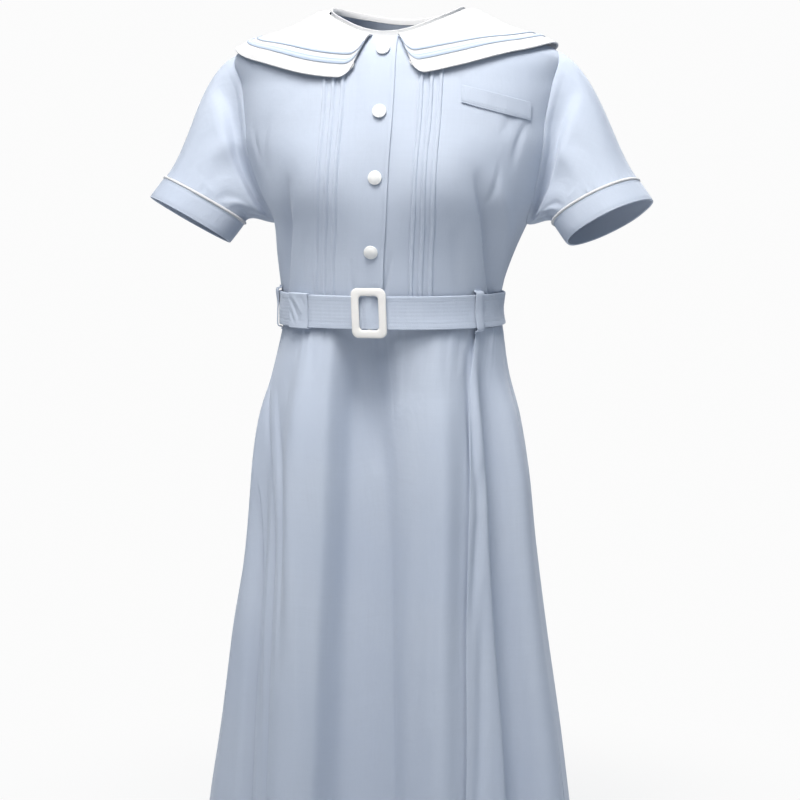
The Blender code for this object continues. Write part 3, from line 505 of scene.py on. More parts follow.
def woven(name, colour, deep, thread_pitch=0.00042, crumple=0.22, sheen=0.25):
    """Plain-woven cloth: fine crossed threads as relief, thicker yarns that run here and there
    as faint streaks, soft hanging crumples, and a colour that drifts a little between two
    tones. Scales are per metre of flat cloth."""
    material = bpy.data.materials.new(name)
    material.use_nodes = True
    nodes = material.node_tree.nodes
    surface = nodes["Principled BSDF"]
    flat = add(nodes, "UVMap", uv_map="cloth")
    place = add(nodes, "TexCoord")

    def noise(source, scale, detail, stretch):
        stretched = add(nodes, "Mapping", Vector=source, Scale=stretch)
        return add(
            nodes,
            "TexNoise",
            Vector=stretched.outputs["Vector"],
            Scale=scale,
            Detail=detail,
            Roughness=0.55,
        ).outputs["Fac"]

    def mixed(low, high, amount):
        made = add(nodes, "Mix", data_type="RGBA")
        made.inputs[0].default_value = 0.5
        nodes.id_data.links.new(amount, made.inputs[0])
        for socket, value in ((made.inputs[6], low), (made.inputs[7], high)):
            if isinstance(value, bpy.types.NodeSocket):
                nodes.id_data.links.new(value, socket)
            else:
                socket.default_value = (*value, 1.0)
        return made.outputs[2]

    drift = noise(place.outputs["Object"], 7.0, 2.0, (1, 1, 1))
    drift = add(nodes, "MapRange", Value=drift, From_Min=0.35, From_Max=0.65)
    warp_yarns = noise(flat.outputs["UV"], 420.0, 2.0, (1.0, 0.035, 1.0))
    weft_yarns = noise(flat.outputs["UV"], 420.0, 2.0, (0.035, 1.0, 1.0))
    yarns = add(nodes, "Math", operation="ADD", _0=warp_yarns, _1=weft_yarns)
    sums = yarns.outputs["Value"]
    yarns = add(nodes, "MapRange", Value=sums, From_Min=0.75, From_Max=1.25)
    streaky = mixed(colour, tuple(0.97 * c for c in colour), yarns.outputs["Result"])
    toned = mixed(streaky, deep, drift.outputs["Result"])
    nodes.id_data.links.new(toned, surface.inputs["Base Color"])

    wave_scale = 2 * np.pi / 20 / thread_pitch
    threads = []
    for direction in ("X", "Y"):
        band = add(
            nodes,
            "TexWave",
            wave_type="BANDS",
            bands_direction=direction,
            Vector=flat.outputs["UV"],
            Scale=wave_scale,
            Distortion=0.6,
            Detail=1.0,
        )
        threads.append(band.outputs["Fac"])
    weave = add(nodes, "Math", operation="MULTIPLY", _0=threads[0], _1=threads[1])
    weave = add(nodes, "Math", operation="MULTIPLY", _0=weave.outputs["Value"], _1=0.05)
    yarn_relief = add(nodes, "Math", operation="MULTIPLY", _0=yarns.outputs["Result"], _1=0.03)
    soft = noise(flat.outputs["UV"], 46.0, 3.0, (1.0, 0.5, 1.0))
    soft = add(nodes, "Math", operation="MULTIPLY", _0=soft, _1=crumple * 4)
    fine = noise(flat.outputs["UV"], 150.0, 3.0, (1.0, 0.7, 1.0))
    fine = add(nodes, "Math", operation="MULTIPLY", _0=fine, _1=crumple)
    relief = weave
    for part in (yarn_relief, soft, fine):
        relief = add(
            nodes, "Math", operation="ADD", _0=relief.outputs["Value"], _1=part.outputs["Value"]
        )
    bump = add(nodes, "Bump", Height=relief.outputs["Value"], Distance=METRES, Strength=0.9)
    nodes.id_data.links.new(bump.outputs["Normal"], surface.inputs["Normal"])
    surface.inputs["Roughness"].default_value = 0.88
    surface.inputs["Specular IOR Level"].default_value = 0.25
    surface.inputs["Sheen Weight"].default_value = sheen
    surface.inputs["Sheen Roughness"].default_value = 0.45
    surface.inputs["Sheen Tint"].default_value = (0.9, 0.94, 1.0, 1.0)
    return material


blue_poplin = woven("blue_poplin", (0.475, 0.528, 0.624), (0.452, 0.507, 0.61))

STITCH_LENGTH, STITCH_GAP, THREAD_RADIUS = 2.0, 0.7, 0.26


def stitches(path, normals, radius=THREAD_RADIUS, length=STITCH_LENGTH, gap=STITCH_GAP):
    """Points and faces of a row of sewing stitches along a path that lies on cloth. Each is a
    four-sided bar, full in the middle and drawn into the cloth at both ends."""
    steps = np.linalg.norm(np.diff(path, axis=0), axis=-1)
    run = np.concatenate([[0], np.cumsum(steps)])
    middles = np.arange(length / 2, run[-1], length + gap)
    centre, tangent, out = (
        np.stack([np.interp(middles, run, values[:, k]) for k in range(3)], axis=-1)
        for values in (path, np.gradient(path, axis=0), normals)
    )
    tangent, out = unit(tangent), unit(out)
    across = np.cross(tangent, out)
    along = np.array([-0.5, -0.28, 0.28, 0.5])[:, None, None] * length
    full = np.array([0.3, 1.0, 1.0, 0.3])[:, None, None] * radius
    sink = np.array([-0.7, 0.35, 0.35, -0.7])[:, None, None] * radius
    corners = [(1, 0), (0, 1), (-1, 0), (0, -1)]
    points = np.stack(
        [
            centre + tangent * along + across * full * x + out * (full * z + sink)
            for x, z in corners
        ],
        axis=2,
    )
    points = np.moveaxis(points, 1, 0)
    number = np.arange(16).reshape(4, 4)
    wrapped = joined_up(number)
    one = np.concatenate([squares(wrapped), [number[0], number[3]]])
    faces = (one[None] + 16 * np.arange(len(middles))[:, None, None]).reshape(-1, 4)
    return points.reshape(-1, 3), faces


def sewing(name, rows, material):
    """One object of several rows of stitches."""
    points, faces, count = [], [], 0
    for row_points, row_faces in rows:
        points.append(row_points)
        faces.append(row_faces + count)
        count += len(row_points)
    points = np.concatenate(points)
    return mesh_object(name, points, np.concatenate(faces), points[:, [0, 2]] * METRES, material)


def thread_material(name, colour):
    """Twisted sewing thread: a faint slanting twist in its relief, and a soft gloss."""
    material = bpy.data.materials.new(name)
    material.use_nodes = True
    nodes = material.node_tree.nodes
    surface = nodes["Principled BSDF"]
    place = add(nodes, "TexCoord")
    twist = add(
        nodes,
        "TexWave",
        wave_type="BANDS",
        bands_direction="DIAGONAL",
        Vector=place.outputs["Object"],
        Scale=900.0,
    )
    bump = add(nodes, "Bump", Height=twist.outputs["Fac"], Distance=0.0001, Strength=0.6)
    nodes.id_data.links.new(bump.outputs["Normal"], surface.inputs["Normal"])
    tone = add(nodes, "TexNoise", Vector=place.outputs["Object"], Scale=60.0)
    ramp = add(nodes, "MapRange", Value=tone.outputs["Fac"], To_Min=0.9, To_Max=1.05)
    scaled = add(
        nodes, "VectorMath", operation="SCALE", _0=(*colour,), Scale=ramp.outputs["Result"]
    )
    nodes.id_data.links.new(scaled.outputs["Vector"], surface.inputs["Base Color"])
    surface.inputs["Roughness"].default_value = 0.6
    surface.inputs["Sheen Weight"].default_value = 0.2
    return material


blue_thread = thread_material("blue_thread", (0.46, 0.52, 0.61))
white_thread = thread_material("white_thread", (0.78, 0.79, 0.81))

TUCKS = (46.0, 57.0, 68.0)
TUCK_HEIGHT = 1.75
# Across a pintuck, from its inner to its outer side: distance and share of its height. The
# groove on its inner side holds its row of stitches.
TUCK_PROFILE = np.array(
    [
        (-3.6, 0), (-2.9, -0.12), (-2.2, -0.32), (-1.5, 0.0), (-0.8, 0.6), (0.2, 0.92),
        (1.4, 1), (2.4, 0.9), (3.0, 0.4), (3.3, -0.15), (3.9, 0),
    ]
)
TUCK_STITCHING = -2.2
# Creases of the fronts, in mm on the plan: the deep folds down both sides under the bust, pulls
# from the armholes and slack above the belt. The first of the last group is the little pull
# beside the third button.
FRONT_CREASES = crease_table(
    (150, -168, 174, -324, -7, 2.6, 9, -5.6),
    (174, -164, 193, -324, -5, 5, 7, 2.6),
    (179, -161, 157, -209, 2, 2.2, 3.6, -2.4),
    (112, -232, 122, -324, -3, 6, 9, -1.6),
    (224, -110, 198, -161, -3, 3.2, 5, -2.4),
    (206, -84, 184, -128, 6, 5, 8, -1.3),
    (140, -52, 168, -98, -6, 7, 10, -1.1),
    (-145, -174, -158, -324, 4, 9, 3.2, -4.6),
    (-131, -180, -141, -322, 3, 5, 6, 1.6),
    (-187, -96, -184, -176, -11, 7, 6, -1.7),
    (-222, -112, -196, -160, -5, 4, 4, -1.6),
    (-100, -236, -108, -324, -3, 8, 6, -1.3),
    (-146, -50, -172, -96, 7, 9, 7, -0.9),
    (24, -176, 6, -182, 1, 2.2, 3.5, -1.1),
    (30, -262, 12, -330, 3, 4, 3, -1.6),
    (-30, -268, -18, -330, -3, 3, 4, -1.0),
    (78, -272, 82, -330, 2, 3, 3, 0.9),
    (-80, -276, -83, -330, -2, 3, 3, 0.8),
)


def tuck_height(distance, row):
    """The pintucks' height at a distance from the middle line: each slopes up and drops at
    once on its outer side. They wander a little, lie flatter at the neck seam and under the
    belt, and loop up just below the collar."""
    height = np.zeros(np.broadcast(distance, row).shape)
    for count, centre in enumerate(TUCKS):
        wander = wave(row + 1.7 * count, (4.3, 1.9), (0.3, 1.9 * count), (0.16, 0.08))
        full = wave(row + 2.3 * count, (1.3, 0.57), (1.1, 0.6), (0.1, 0.07)) + 1
        off = distance - centre - wander
        height = height + full * np.interp(off, TUCK_PROFILE[:, 0], TUCK_PROFILE[:, 1])
    fade = np.interp(row, [0.9, 2.2, 2.9, 3.5, 9.0, 9.7], [0.15, 0.9, 1.35, 1.0, 1.0, 0.5])
    return TUCK_HEIGHT * height * fade


def front_grid(side, flat_columns, shares):
    """Angles and rows of a front: columns at fixed distances from the middle line, then at
    shares of the way from the last of them to the side. The rows blend from the side's to the
    middle's as the cosine squared of the angle, so both are found in a few rounds."""
    edge_rows, centre_rows = side_rows()[:, None], middle_rows(NECK_FRONT_ROW)[:, None]
    gap = np.degrees(GAP / 2 / column("right", edge_rows))
    edge = armhole_angle(edge_rows, ARM_FRONT_DEPTH) - gap
    distances = np.array(flat_columns)[None, :]
    angles = np.zeros_like(distances + edge_rows)
    for _ in range(FIT_ROUNDS):
        rows = edge_rows + (centre_rows - edge_rows) * np.cos(np.pi / 2 * angles / edge) ** 2
        angles = side * angle_at(side * distances, rows)
    rest = angles[:, -1:] + (edge - angles[:, -1:]) * np.array(shares)[None, :]
    angles = np.concatenate([angles, rest], axis=1)
    rows = edge_rows + (centre_rows - edge_rows) * np.cos(np.pi / 2 * angles / edge) ** 2
    return side * angles, rows


FRONT_DISTANCES = np.concatenate(
    [np.linspace(-LAP_HALF, 39.0, 38), np.linspace(39.75, PAST_TUCKS, 60)]
)
FRONT_SHARES = np.linspace(0, 1, 52)[1:]
# The column of the lap's stitching, and the rows that stitching down the front takes in.
LAP_STITCH_COLUMN, STITCHED = 3, slice(4, -8)


def front_out(side, angles, rows):
    """How far a front stands out from the worn form: pintucks, creases, and on the wearer's
    right the lap, whose edge lifts a little just above the belt."""
    distances = np.concatenate([FRONT_DISTANCES, np.full(len(FRONT_SHARES), PAST_TUCKS)])
    x, y = plan(angles, rows)
    out = tuck_height(distances[None, :], rows) + creases(FRONT_CREASES, x, y) * np.clip(
        (WAIST_ROW - rows) * 2.5, 0, 1
    )
    if side < 0:
        out = out + np.interp(distances, [LAP_HALF, LAP_ENDS], [LAP, 0])[None, :]
        lifts = np.exp(-(((rows - 9.1) / 0.7) ** 2)) + 0.2 * np.exp(-(((rows - 4.7) / 0.5) ** 2))
        out = out + 2.0 * lifts * np.clip(-distances[None, :] / LAP_HALF, 0, 1) ** 1.5
    return out


for name, side in (("front_left", 1), ("front_right", -1)):
    angles, rows = front_grid(side, FRONT_DISTANCES, FRONT_SHARES)
    grid = cloth(angles, rows, front_out(side, angles, rows))
    piece = shell(name + "_cloth", grid, CLOTH, blue_poplin)
    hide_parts(name)
    normals = grid_normals(grid, grid * UP, False)
    lines = [int(np.argmin(np.abs(FRONT_DISTANCES - centre - TUCK_STITCHING))) for centre in TUCKS]
    lines += [LAP_STITCH_COLUMN] if side < 0 else []
    front_rows = [stitches(grid[STITCHED, line], normals[STITCHED, line]) for line in lines]
    front_sewing = sewing(name + "_stitching", front_rows, blue_thread)

# Back: one panel of the same poplin, sewn to the fronts at the shoulders and sides, with the
# slack of a worn bodice above the belt.
BACK_CREASES = crease_table(
    (-120, -225, -95, -322, 8, 7, 9, -3.0),
    (115, -215, 98, -322, -9, 8, 6, -2.8),
    (-60, -262, -52, -328, -3, 5, 6, -2.0),
    (48, -258, 44, -328, 4, 6, 4, -2.1),
    (-8, -240, 0, -328, 3, 7, 6, 1.8),
    (-190, -110, -140, -178, -10, 8, 6, -2.2),
    (192, -104, 146, -184, 10, 6, 8, -2.4),
    (-130, -60, -60, -84, 5, 8, 10, 1.2),
    (128, -58, 66, -86, -6, 9, 8, 1.1),
    (-85, -240, -76, -325, 2, 5, 5, 1.7),
    (80, -246, 74, -325, -2, 5, 5, 1.6),
)
BACK_COLUMNS = 111
edge_rows = side_rows()[:, None]
gap = np.degrees(GAP / 2 / column("right", edge_rows))
back_edge = armhole_angle(edge_rows, -ARM_BACK_DEPTH) + gap
back_share = np.linspace(-1, 1, BACK_COLUMNS)[None, :]
back_angles = 180 + (180 - back_edge) * back_share
back_rows = edge_rows + (middle_rows(NECK_BACK_ROW)[:, None] - edge_rows) * (
    np.cos(np.pi / 2 * back_share) ** 2
)
girth = np.radians(1) * (column("left", back_rows) + column("right", back_rows)) / 2
back_x = (back_angles - 180) * girth
back_out = creases(BACK_CREASES, back_x, column("height", back_rows))
back_out = back_out * np.clip((WAIST_ROW - back_rows) * 2.5, 0, 1)
back = shell("back_cloth", cloth(back_angles, back_rows, back_out), CLOTH, blue_poplin)
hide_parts("back")

# Pocket welt: a slanting strip of doubled poplin sewn over the breast pocket's mouth on the
# wearer's left, topstitched along its lower edge and across its ends.
WELT_INNER_X, WELT_OUTER_X = 93.0, 167.0
WELT_TOP_ROWS, WELT_BOTTOM_ROWS = (3.06, 3.5), (3.5, 3.97)
WELT_LIFT = 0.7
WELT_THICK = 1.6
welt_share = np.linspace(0, 1, 60)[None, :]
welt_down = np.linspace(0, 1, 18)[:, None]
welt_top = WELT_TOP_ROWS[0] + (WELT_TOP_ROWS[1] - WELT_TOP_ROWS[0]) * welt_share
welt_bottom = WELT_BOTTOM_ROWS[0] + (WELT_BOTTOM_ROWS[1] - WELT_BOTTOM_ROWS[0]) * welt_share
welt_rows = welt_top + (welt_bottom - welt_top) * welt_down
welt_x = WELT_INNER_X + (WELT_OUTER_X - WELT_INNER_X) * welt_share + 0 * welt_down
welt_angles = angle_at(welt_x, welt_rows)


def welt_out(share, down):
    """The welt's height: its top edge gapes a little in the middle of the mouth, and its sewn
    edge is drawn down."""
    gape = 1.1 * np.sin(np.pi * share) * (1 - down) ** 2
    drawn = 0.5 * np.exp(-(((1 - down) / 0.1) ** 2))
    return WELT_LIFT + WELT_THICK + gape - drawn + wave(share, (0.31, 0.13), (0.4, 2.0), (0.12, 0.06))


welt_grid = cloth(welt_angles, welt_rows, welt_out(welt_share, welt_down))
welt = shell("pocket_welt_cloth", welt_grid, WELT_THICK, blue_poplin)
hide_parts("pocket_welt")
welt_normals = outward(welt_angles, welt_rows)
welt_rows_of_stitches = [
    stitches(welt_grid[k], welt_normals[k]) for k in (-3, -5)
] + [stitches(welt_grid[:, k], welt_normals[:, k]) for k in (2, -3)]
welt_sewing = sewing("pocket_stitching", welt_rows_of_stitches, blue_thread)

# Sleeves: short set-in sleeves of the same poplin, eased into the armholes, with soft folds
# from the underarm and small puckers where they are gathered into the cuff seam.
SLEEVE_ROWS = 64
CUFF_CENTRE = np.array([254.5, -25.0, -228.0])
CUFF_LEAN = 10.0
CUFF_HALF_WIDTH, CUFF_HALF_DEPTH = 56.5, 48.0
CUFF_ACROSS = np.array([0.883, 0.0, 0.471])
CUFF_AHEAD = np.array([-0.103, -0.975, 0.194])
CUFF_DOWN = np.array([0.57, -0.2, -0.797])
CUFF_HEIGHT = 27.2
PIPING = 1.8
SLEEVE_START = np.array([0.9, -0.08, -0.42])
SLEEVE_FULLNESS = 0.9
SEAM_CLEAR = 0.85 * GAP
SLEEVE_END_INSET = 1.2
around = 180 - 180 * np.arange(2 * ARM_STEPS) / ARM_STEPS
half_turn = np.linspace(0, np.pi, ARM_STEPS + 1)
ARM_ROWS = UNDERARM_ROW - (UNDERARM_ROW - SHOULDER_ROW) * (1 - np.cos(half_turn)) / 2
arm_rows = np.concatenate([ARM_ROWS, ARM_ROWS[-2:0:-1]])
arm_front = np.arange(2 * ARM_STEPS) <= ARM_STEPS
# Creases of a sleeve on its flat plan: x runs round it, 0 on top, to 165 under the arm over
# the front and -165 over the back; y runs down it from the armhole, 0 to 150.
SLEEVE_CREASES = crease_table(
    (34, 33, 152, 29, -3, 24, 13, -12.5),
    (128, -2, 98, 128, 10, 8, 12, -2.6),
    (104, 6, 78, 118, 8, 8, 9, 1.6),
    (146, 20, 124, 146, 6, 6, 8, 2.2),
    (132, 60, 116, 152, 4, 5, 6, -2.2),
    (70, 60, 56, 152, 5, 6, 9, -1.6),
    (34, -8, 30, 70, -4, 9, 9, -1.0),
    (8, -6, 14, 88, 3, 10, 8, 0.8),
    (-22, -6, -30, 74, 5, 9, 10, -1.2),
    (-34, 28, -150, 25, 3, 12, 17, -7.5),
    (-86, 4, -66, 120, -9, 10, 8, -2.6),
    (-112, 8, -92, 124, -8, 7, 8, 1.8),
    (-138, 14, -112, 138, -6, 8, 7, -2.6),
    (-50, 52, -42, 152, 4, 7, 8, -1.4),
    (158, 20, 150, 120, 3, 6, 6, -2.2),
)
GIRTH_PER_DEGREE = 0.92
SLEEVE_LENGTH = 150.0


def cuff_ring(side, above, grow, turns=around):
    """Points round the sleeve's end, some mm above its hem, on an oval that grows by some mm:
    the cuff's centre + across * cos(turn) + ahead * sin(turn), mirrored for the right side."""
    mirror = np.array([side, 1, 1])
    turn = np.radians(turns)[:, None]
    above = np.asarray(above, float)[..., None, None]
    grow = np.asarray(grow, float)[..., None]
    point = (
        CUFF_CENTRE
        - CUFF_DOWN * above
        + CUFF_ACROSS * (CUFF_HALF_WIDTH + grow) * np.cos(turn)
        + CUFF_AHEAD * (CUFF_HALF_DEPTH + grow) * np.sin(turn)
    )
    return point * mirror + np.array([CUFF_LEAN, 0, 0])


def sleeve_grid(side):
    """A smooth curve from each armhole point to its cuff point, which leaves the armhole
    outward and reaches the cuff along its axis, with creases and puckers along its normals."""
    mirror = np.array([side, 1, 1])
    front = armhole_angle(arm_rows, ARM_FRONT_DEPTH)
    back_side = armhole_angle(arm_rows, -ARM_BACK_DEPTH)
    angles = side * np.where(arm_front, front, back_side)
    hole = body(angles, arm_rows)
    face = outward(angles, arm_rows)
    into = unit(np.cross(face, np.roll(hole, -1, axis=0) - np.roll(hole, 1, axis=0)))
    into = into * np.sign((into * (hole.mean(axis=0) - hole)).sum(axis=1))[:, None]
    start = hole + (into + face) * SEAM_CLEAR
    end = cuff_ring(side, CUFF_HEIGHT + 2 * PIPING + 2 * GAP, -SLEEVE_END_INSET)
    pull = SLEEVE_FULLNESS * np.linalg.norm(end - start, axis=1, keepdims=True)
    t = np.linspace(0, 1, SLEEVE_ROWS)[:, None, None]
    outer = (
        (2 * t**3 - 3 * t**2 + 1) * start
        + (t**3 - 2 * t**2 + t) * pull * SLEEVE_START * mirror
        + (3 * t**2 - 2 * t**3) * end
        + (t**3 - t**2) * pull * CUFF_DOWN * mirror
    )
    normals = grid_normals(outer, outer.mean(axis=1, keepdims=True), True)
    shift = np.where(side > 0, 0.0, 9.0)
    x = around[None, :] * GIRTH_PER_DEGREE + shift * np.sin(np.radians(around))[None, :]
    y = t[..., 0] * SLEEVE_LENGTH
    out = creases(SLEEVE_CREASES, x, y) + creases(SLEEVE_CREASES, x - 360 * GIRTH_PER_DEGREE, y)
    puckers = wave(x, (9.7, 6.1, 14.3), (0.4, 1.7, 2.9 + side), (0.45, 0.3, 0.4))
    puckers = puckers * (1 + wave(x, (71.0, 43.0), (side, 2.0), (0.5, 0.4)))
    near_cuff = np.exp(-(SLEEVE_LENGTH - y) / 13.0) + 0.5 * np.exp(-y / 9.0)
    out = out + puckers * near_cuff
    return outer + normals * (out * np.clip(y / 12, 0, 1) * np.clip((153 - y) / 6, 0, 1))[..., None]


def ring_inside(grid):
    """The middle of each ring of a tube's points."""
    return grid.mean(axis=1, keepdims=True)


for word, side in (("right", -1), ("left", 1)):
    grid = sleeve_grid(side)
    sleeve = shell(f"sleeve_{word}_cloth", grid, CLOTH, blue_poplin, True, ring_inside(grid))
    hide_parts("sleeve_" + word)

# Piping: a thin cord in a bias strip of white cotton, caught in the seam between the sleeve
# and the cuff.
white_cotton = woven("white_cotton", (0.64, 0.64, 0.65), (0.615, 0.62, 0.63), crumple=0.14)


def hoop(name, grid, material, flat=None):
    """A closed ring with a closed section: a grid whose rows and columns both join up."""
    number = np.arange(grid.shape[0] * grid.shape[1]).reshape(grid.shape[:2])
    number = joined_up(number)
    number = joined_up(number, 0)
    flat = laid_flat(grid, True) if flat is None else flat
    return mesh_object(name, grid.reshape(-1, 3), squares(number), flat.reshape(-1, 2), material)


CORD_INSET = 0.4
for word, side in (("right", -1), ("left", 1)):
    middle = CUFF_HEIGHT + GAP + PIPING
    swell = PIPING * (1 + wave(around, (37.0, 21.0, 11.0), (side, 1.0, 2.0), (0.04, 0.03, 0.02)))
    cord = [
        cuff_ring(side, middle + PIPING * np.sin(a), swell * np.cos(a) - CORD_INSET)
        for a in np.linspace(0, 2 * np.pi, 13)[:-1]
    ]
    piping = hoop(f"piping_{word}_cord", np.array(cord), white_cotton)
    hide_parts("piping_" + word)

# Cuffs: doubled bands of the same poplin that turn the sleeve's end, topstitched near both
# edges. They hang open and a little out of round.
CUFF = 2.2
CUFF_ROWS = 22


def cuff_grow(side, above):
    """How far the cuff stands out at a height above its hem: nearly level, drawn in at its two
    stitched edges, with a few slow waves round it."""
    slow = wave(around, (120.0, 73.0, 47.0), (0.7 + side, 2.0, 4.1), (0.5, 0.35, 0.22))
    drawn = sum(0.35 * np.exp(-(((above - at) / 1.2) ** 2)) for at in (2.4, CUFF_HEIGHT - 2.2))
    roll = 0.5 * np.exp(-above / 1.0)
    return slow[None, :] * (1 - 0.5 * above / CUFF_HEIGHT)[:, None] - (drawn + roll)[:, None]


cuff_above = np.linspace(CUFF_HEIGHT, 0, CUFF_ROWS)
for word, side in (("right", -1), ("left", 1)):
    grid = cuff_ring(side, cuff_above, cuff_grow(side, cuff_above))
    cuff = shell(f"cuff_{word}_cloth", grid, CUFF, blue_poplin, True, ring_inside(grid))
    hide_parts("cuff_" + word)
    normals = grid_normals(grid, ring_inside(grid), True)
    closed = [joined_up(values) for values in (grid, normals)]
    rows = [stitches(closed[0][k], closed[1][k]) for k in (2, -3)]
    cuff_sewing = sewing(f"cuff_{word}_stitching", rows, blue_thread)

# Skirt: an A-line front and back of the same poplin, sewn to the bodice under the belt and to
# each other at the sides. The front has three pressed pleats whose edges run down and inward,
# and both hang in soft folds. The hem is turned up and stitched.
SKIRT_ROW_COUNT = 150
# The angle of each pleat's edge at the rows from the waist to the hem, and the shares of the
# skirt's height where each begins and is full.
PLEATS = (
    np.array([-87, -84.5, -81, -74, -66, -58.8, -54, -51.5, -49.3, -48.0]),
    np.array([-80, -76, -70, -60, -51, -45, -41, -38, -36, -35.0]),
    np.array([66, 62, 57, 52.5, 49, 46.5, 44, 42, 40.5, 39.5]),
)
PLEAT_STARTS, PLEAT_FULL = (0.42, 0.12, 0.03), (0.6, 0.28, 0.16)
# Across a pleat's edge, from the cloth below to the cloth on top: distance along the skirt and
# height in mm. The cloth below runs in under the edge, turns and comes back on top.
PLEAT_PATH = np.array(
    [
        (-3.0, -2.2), (-0.6, -2.4), (1.6, -2.5), (3.2, -2.3), (3.8, -1.5), (3.2, -0.7),
        (1.6, -0.35), (0.3, -0.15), (-0.3, 0.3), (-0.2, 0.75), (0.7, 1.1), (2.4, 1.2), (5.0, 1.2),
    ]
)
PLEAT_ABOVE = 16.0
# For each pleat: the share of that height, and how much more the cloth below it falls back, in
# mm, and over how many degrees.
PLEAT_LOOKS = ((1.6, 4.0, 4.0), (1.6, 4.0, 4.0), (0.5, 3.0, 6.0))
SKIRT_SPANS = (28, 22, 118, 62)
HEM_STITCH_ABOVE = 28.0
# Creases of the skirt's front, and of its back on a plan that starts at the middle back.
SKIRT_CREASES = crease_table(
    (-150, -420, -112, -760, 10, 5, 11, -4.5),
    (-112, -470, -86, -900, 6, 13, 8, 3.4),
    (-40, -352, -6, -520, 4, 7, 12, -3.0),
    (-14, -350, 2, -600, 3, 9, 12, -2.4),
    (22, -346, 26, -470, 1, 5, 6, -1.5),
    (46, -346, 44, -436, 1, 4, 5, -1.2),
    (10, -560, 34, -1000, -5, 12, 10, -2.6),
    (58, -420, 52, -980, 4, 14, 12, 3.2),
    (92, -410, 92, -800, -3, 7, 10, -2.8),
    (134, -372, 150, -560, 3, 7, 5, -5.0),
    (158, -500, 150, -700, -4, 6, 8, -4.6),
    (160, -640, 164, -1004, 4, 8, 7, -4.4),
    (-178, -520, -160, -1000, 5, 9, 8, -3.6),
    (-196, -430, -206, -760, 3, 8, 9, 2.6),
    (196, -470, 214, -860, -3, 9, 8, 2.6),
    (120, -345, 118, -402, 1, 4, 5, -1.4),
    (-88, -345, -84, -410, 1, 5, 4, -1.5),
    (-108, -345, -112, -392, 1, 4, 4, -1.1),
    (72, -345, 74, -412, 1, 4, 5, -1.2),
)
SKIRT_BACK_CREASES = crease_table(
    (-150, -400, -176, -860, 8, 9, 12, -4.4),
    (-112, -372, -128, -980, -7, 12, 9, 4.0),
    (-78, -352, -92, -720, 5, 8, 12, -5.0),
    (-44, -360, -40, -1004, 7, 13, 10, -5.4),
    (-12, -352, -8, -640, -4, 9, 9, 3.6),
    (16, -350, 30, -900, 6, 8, 13, -4.8),
    (52, -356, 64, -1004, -6, 12, 10, 4.2),
    (86, -360, 106, -780, 5, 9, 12, -4.9),
    (124, -380, 140, -1000, -7, 11, 8, 3.8),
    (160, -400, 186, -800, 4, 9, 11, -4.2),
    (-24, -345, -28, -412, 1, 4, 5, -1.5),
    (36, -345, 40, -404, 1, 5, 4, -1.4),
    (-64, -345, -66, -398, 1, 4, 5, -1.3),
    (74, -345, 72, -410, 1, 5, 4, -1.4),
)
# Deep folds that start under the belt and run to the hem: the row where each begins and the one
# where it is full, its angle there and at the hem, its half widths left and right of its line
# in degrees, and its depth in mm, below nought for a valley.
DEEP_FOLDS = np.array(
    [
        (10.1, 13.5, -42, -36, -31, 7, 7, 8),
        (10.1, 14.0, 38, 32, 27, 11, 10, 9),
        (11.5, 14.0, -76, -70, -66, 6, 5, 7),
        (11.0, 13.5, 69, 66, 63, 5, 6, -14),
        (11.5, 14.5, 80, 76, 73, 5, 7, 7),
    ],
    dtype=[
        (name, float)
        for name in (
            *("first", "full", "start_angle", "full_angle", "hem_angle"),
            *("left", "right", "depth"),
        )
    ],
)


def deep_folds(angle, row):
    """The skirt's deep folds: a bell across each, with its own width on either side, that grows
    as a smooth step from its first row to its full row and then keeps its depth to the hem."""
    out = np.zeros(np.broadcast(angle, row).shape)
    for fold in DEEP_FOLDS:
        rows = [fold["first"], fold["full"], HEM_ROW]
        line = np.interp(row, rows, [fold["start_angle"], fold["full_angle"], fold["hem_angle"]])
        off = (angle - line + 180) % 360 - 180
        width = np.where(off < 0, fold["left"], fold["right"])
        grown = np.clip((row - fold["first"]) / (fold["full"] - fold["first"]), 0, 1)
        out = out + fold["depth"] * np.exp(-((off / width) ** 2)) * grown**2 * (3 - 2 * grown)
    return out


# The big fold under the buckle: the angle of its edge at three rows, how wide and deep it is in
# degrees and mm, the rows where it starts and is full, and how round its edge is.
BIG_FOLD_EDGE = ((10.0, 13.0, 19.0), (-26.0, -22.0, -18.5))
BIG_FOLD_WIDTH, BIG_FOLD_DEPTH = 16.0, 46.0
BIG_FOLD_START, BIG_FOLD_FULL, BIG_FOLD_ROUND = 9.9, 12.4, 0.012


def big_fold(angle, row):
    """The big fold drops at its left edge, is deepest one width past it and then eases out
    slowly: depth * t * exp(1 - t), t being the widths past the edge."""
    past = (angle - np.interp(row, *BIG_FOLD_EDGE)) / BIG_FOLD_WIDTH
    t = (past + np.sqrt(past**2 + BIG_FOLD_ROUND)) / 2
    grown = np.clip((row - BIG_FOLD_START) / (BIG_FOLD_FULL - BIG_FOLD_START), 0, 1)
    return -BIG_FOLD_DEPTH * t * np.exp(1 - t) * grown**2 * (3 - 2 * grown)


skirt_rows = np.linspace(WAIST_ROW + 0.006, HEM_ROW, SKIRT_ROW_COUNT)
side_gap = np.degrees(GAP / 2 / column("right", skirt_rows))[:, None]
skirt_share = ((skirt_rows - WAIST_ROW) / (HEM_ROW - WAIST_ROW))[:, None]


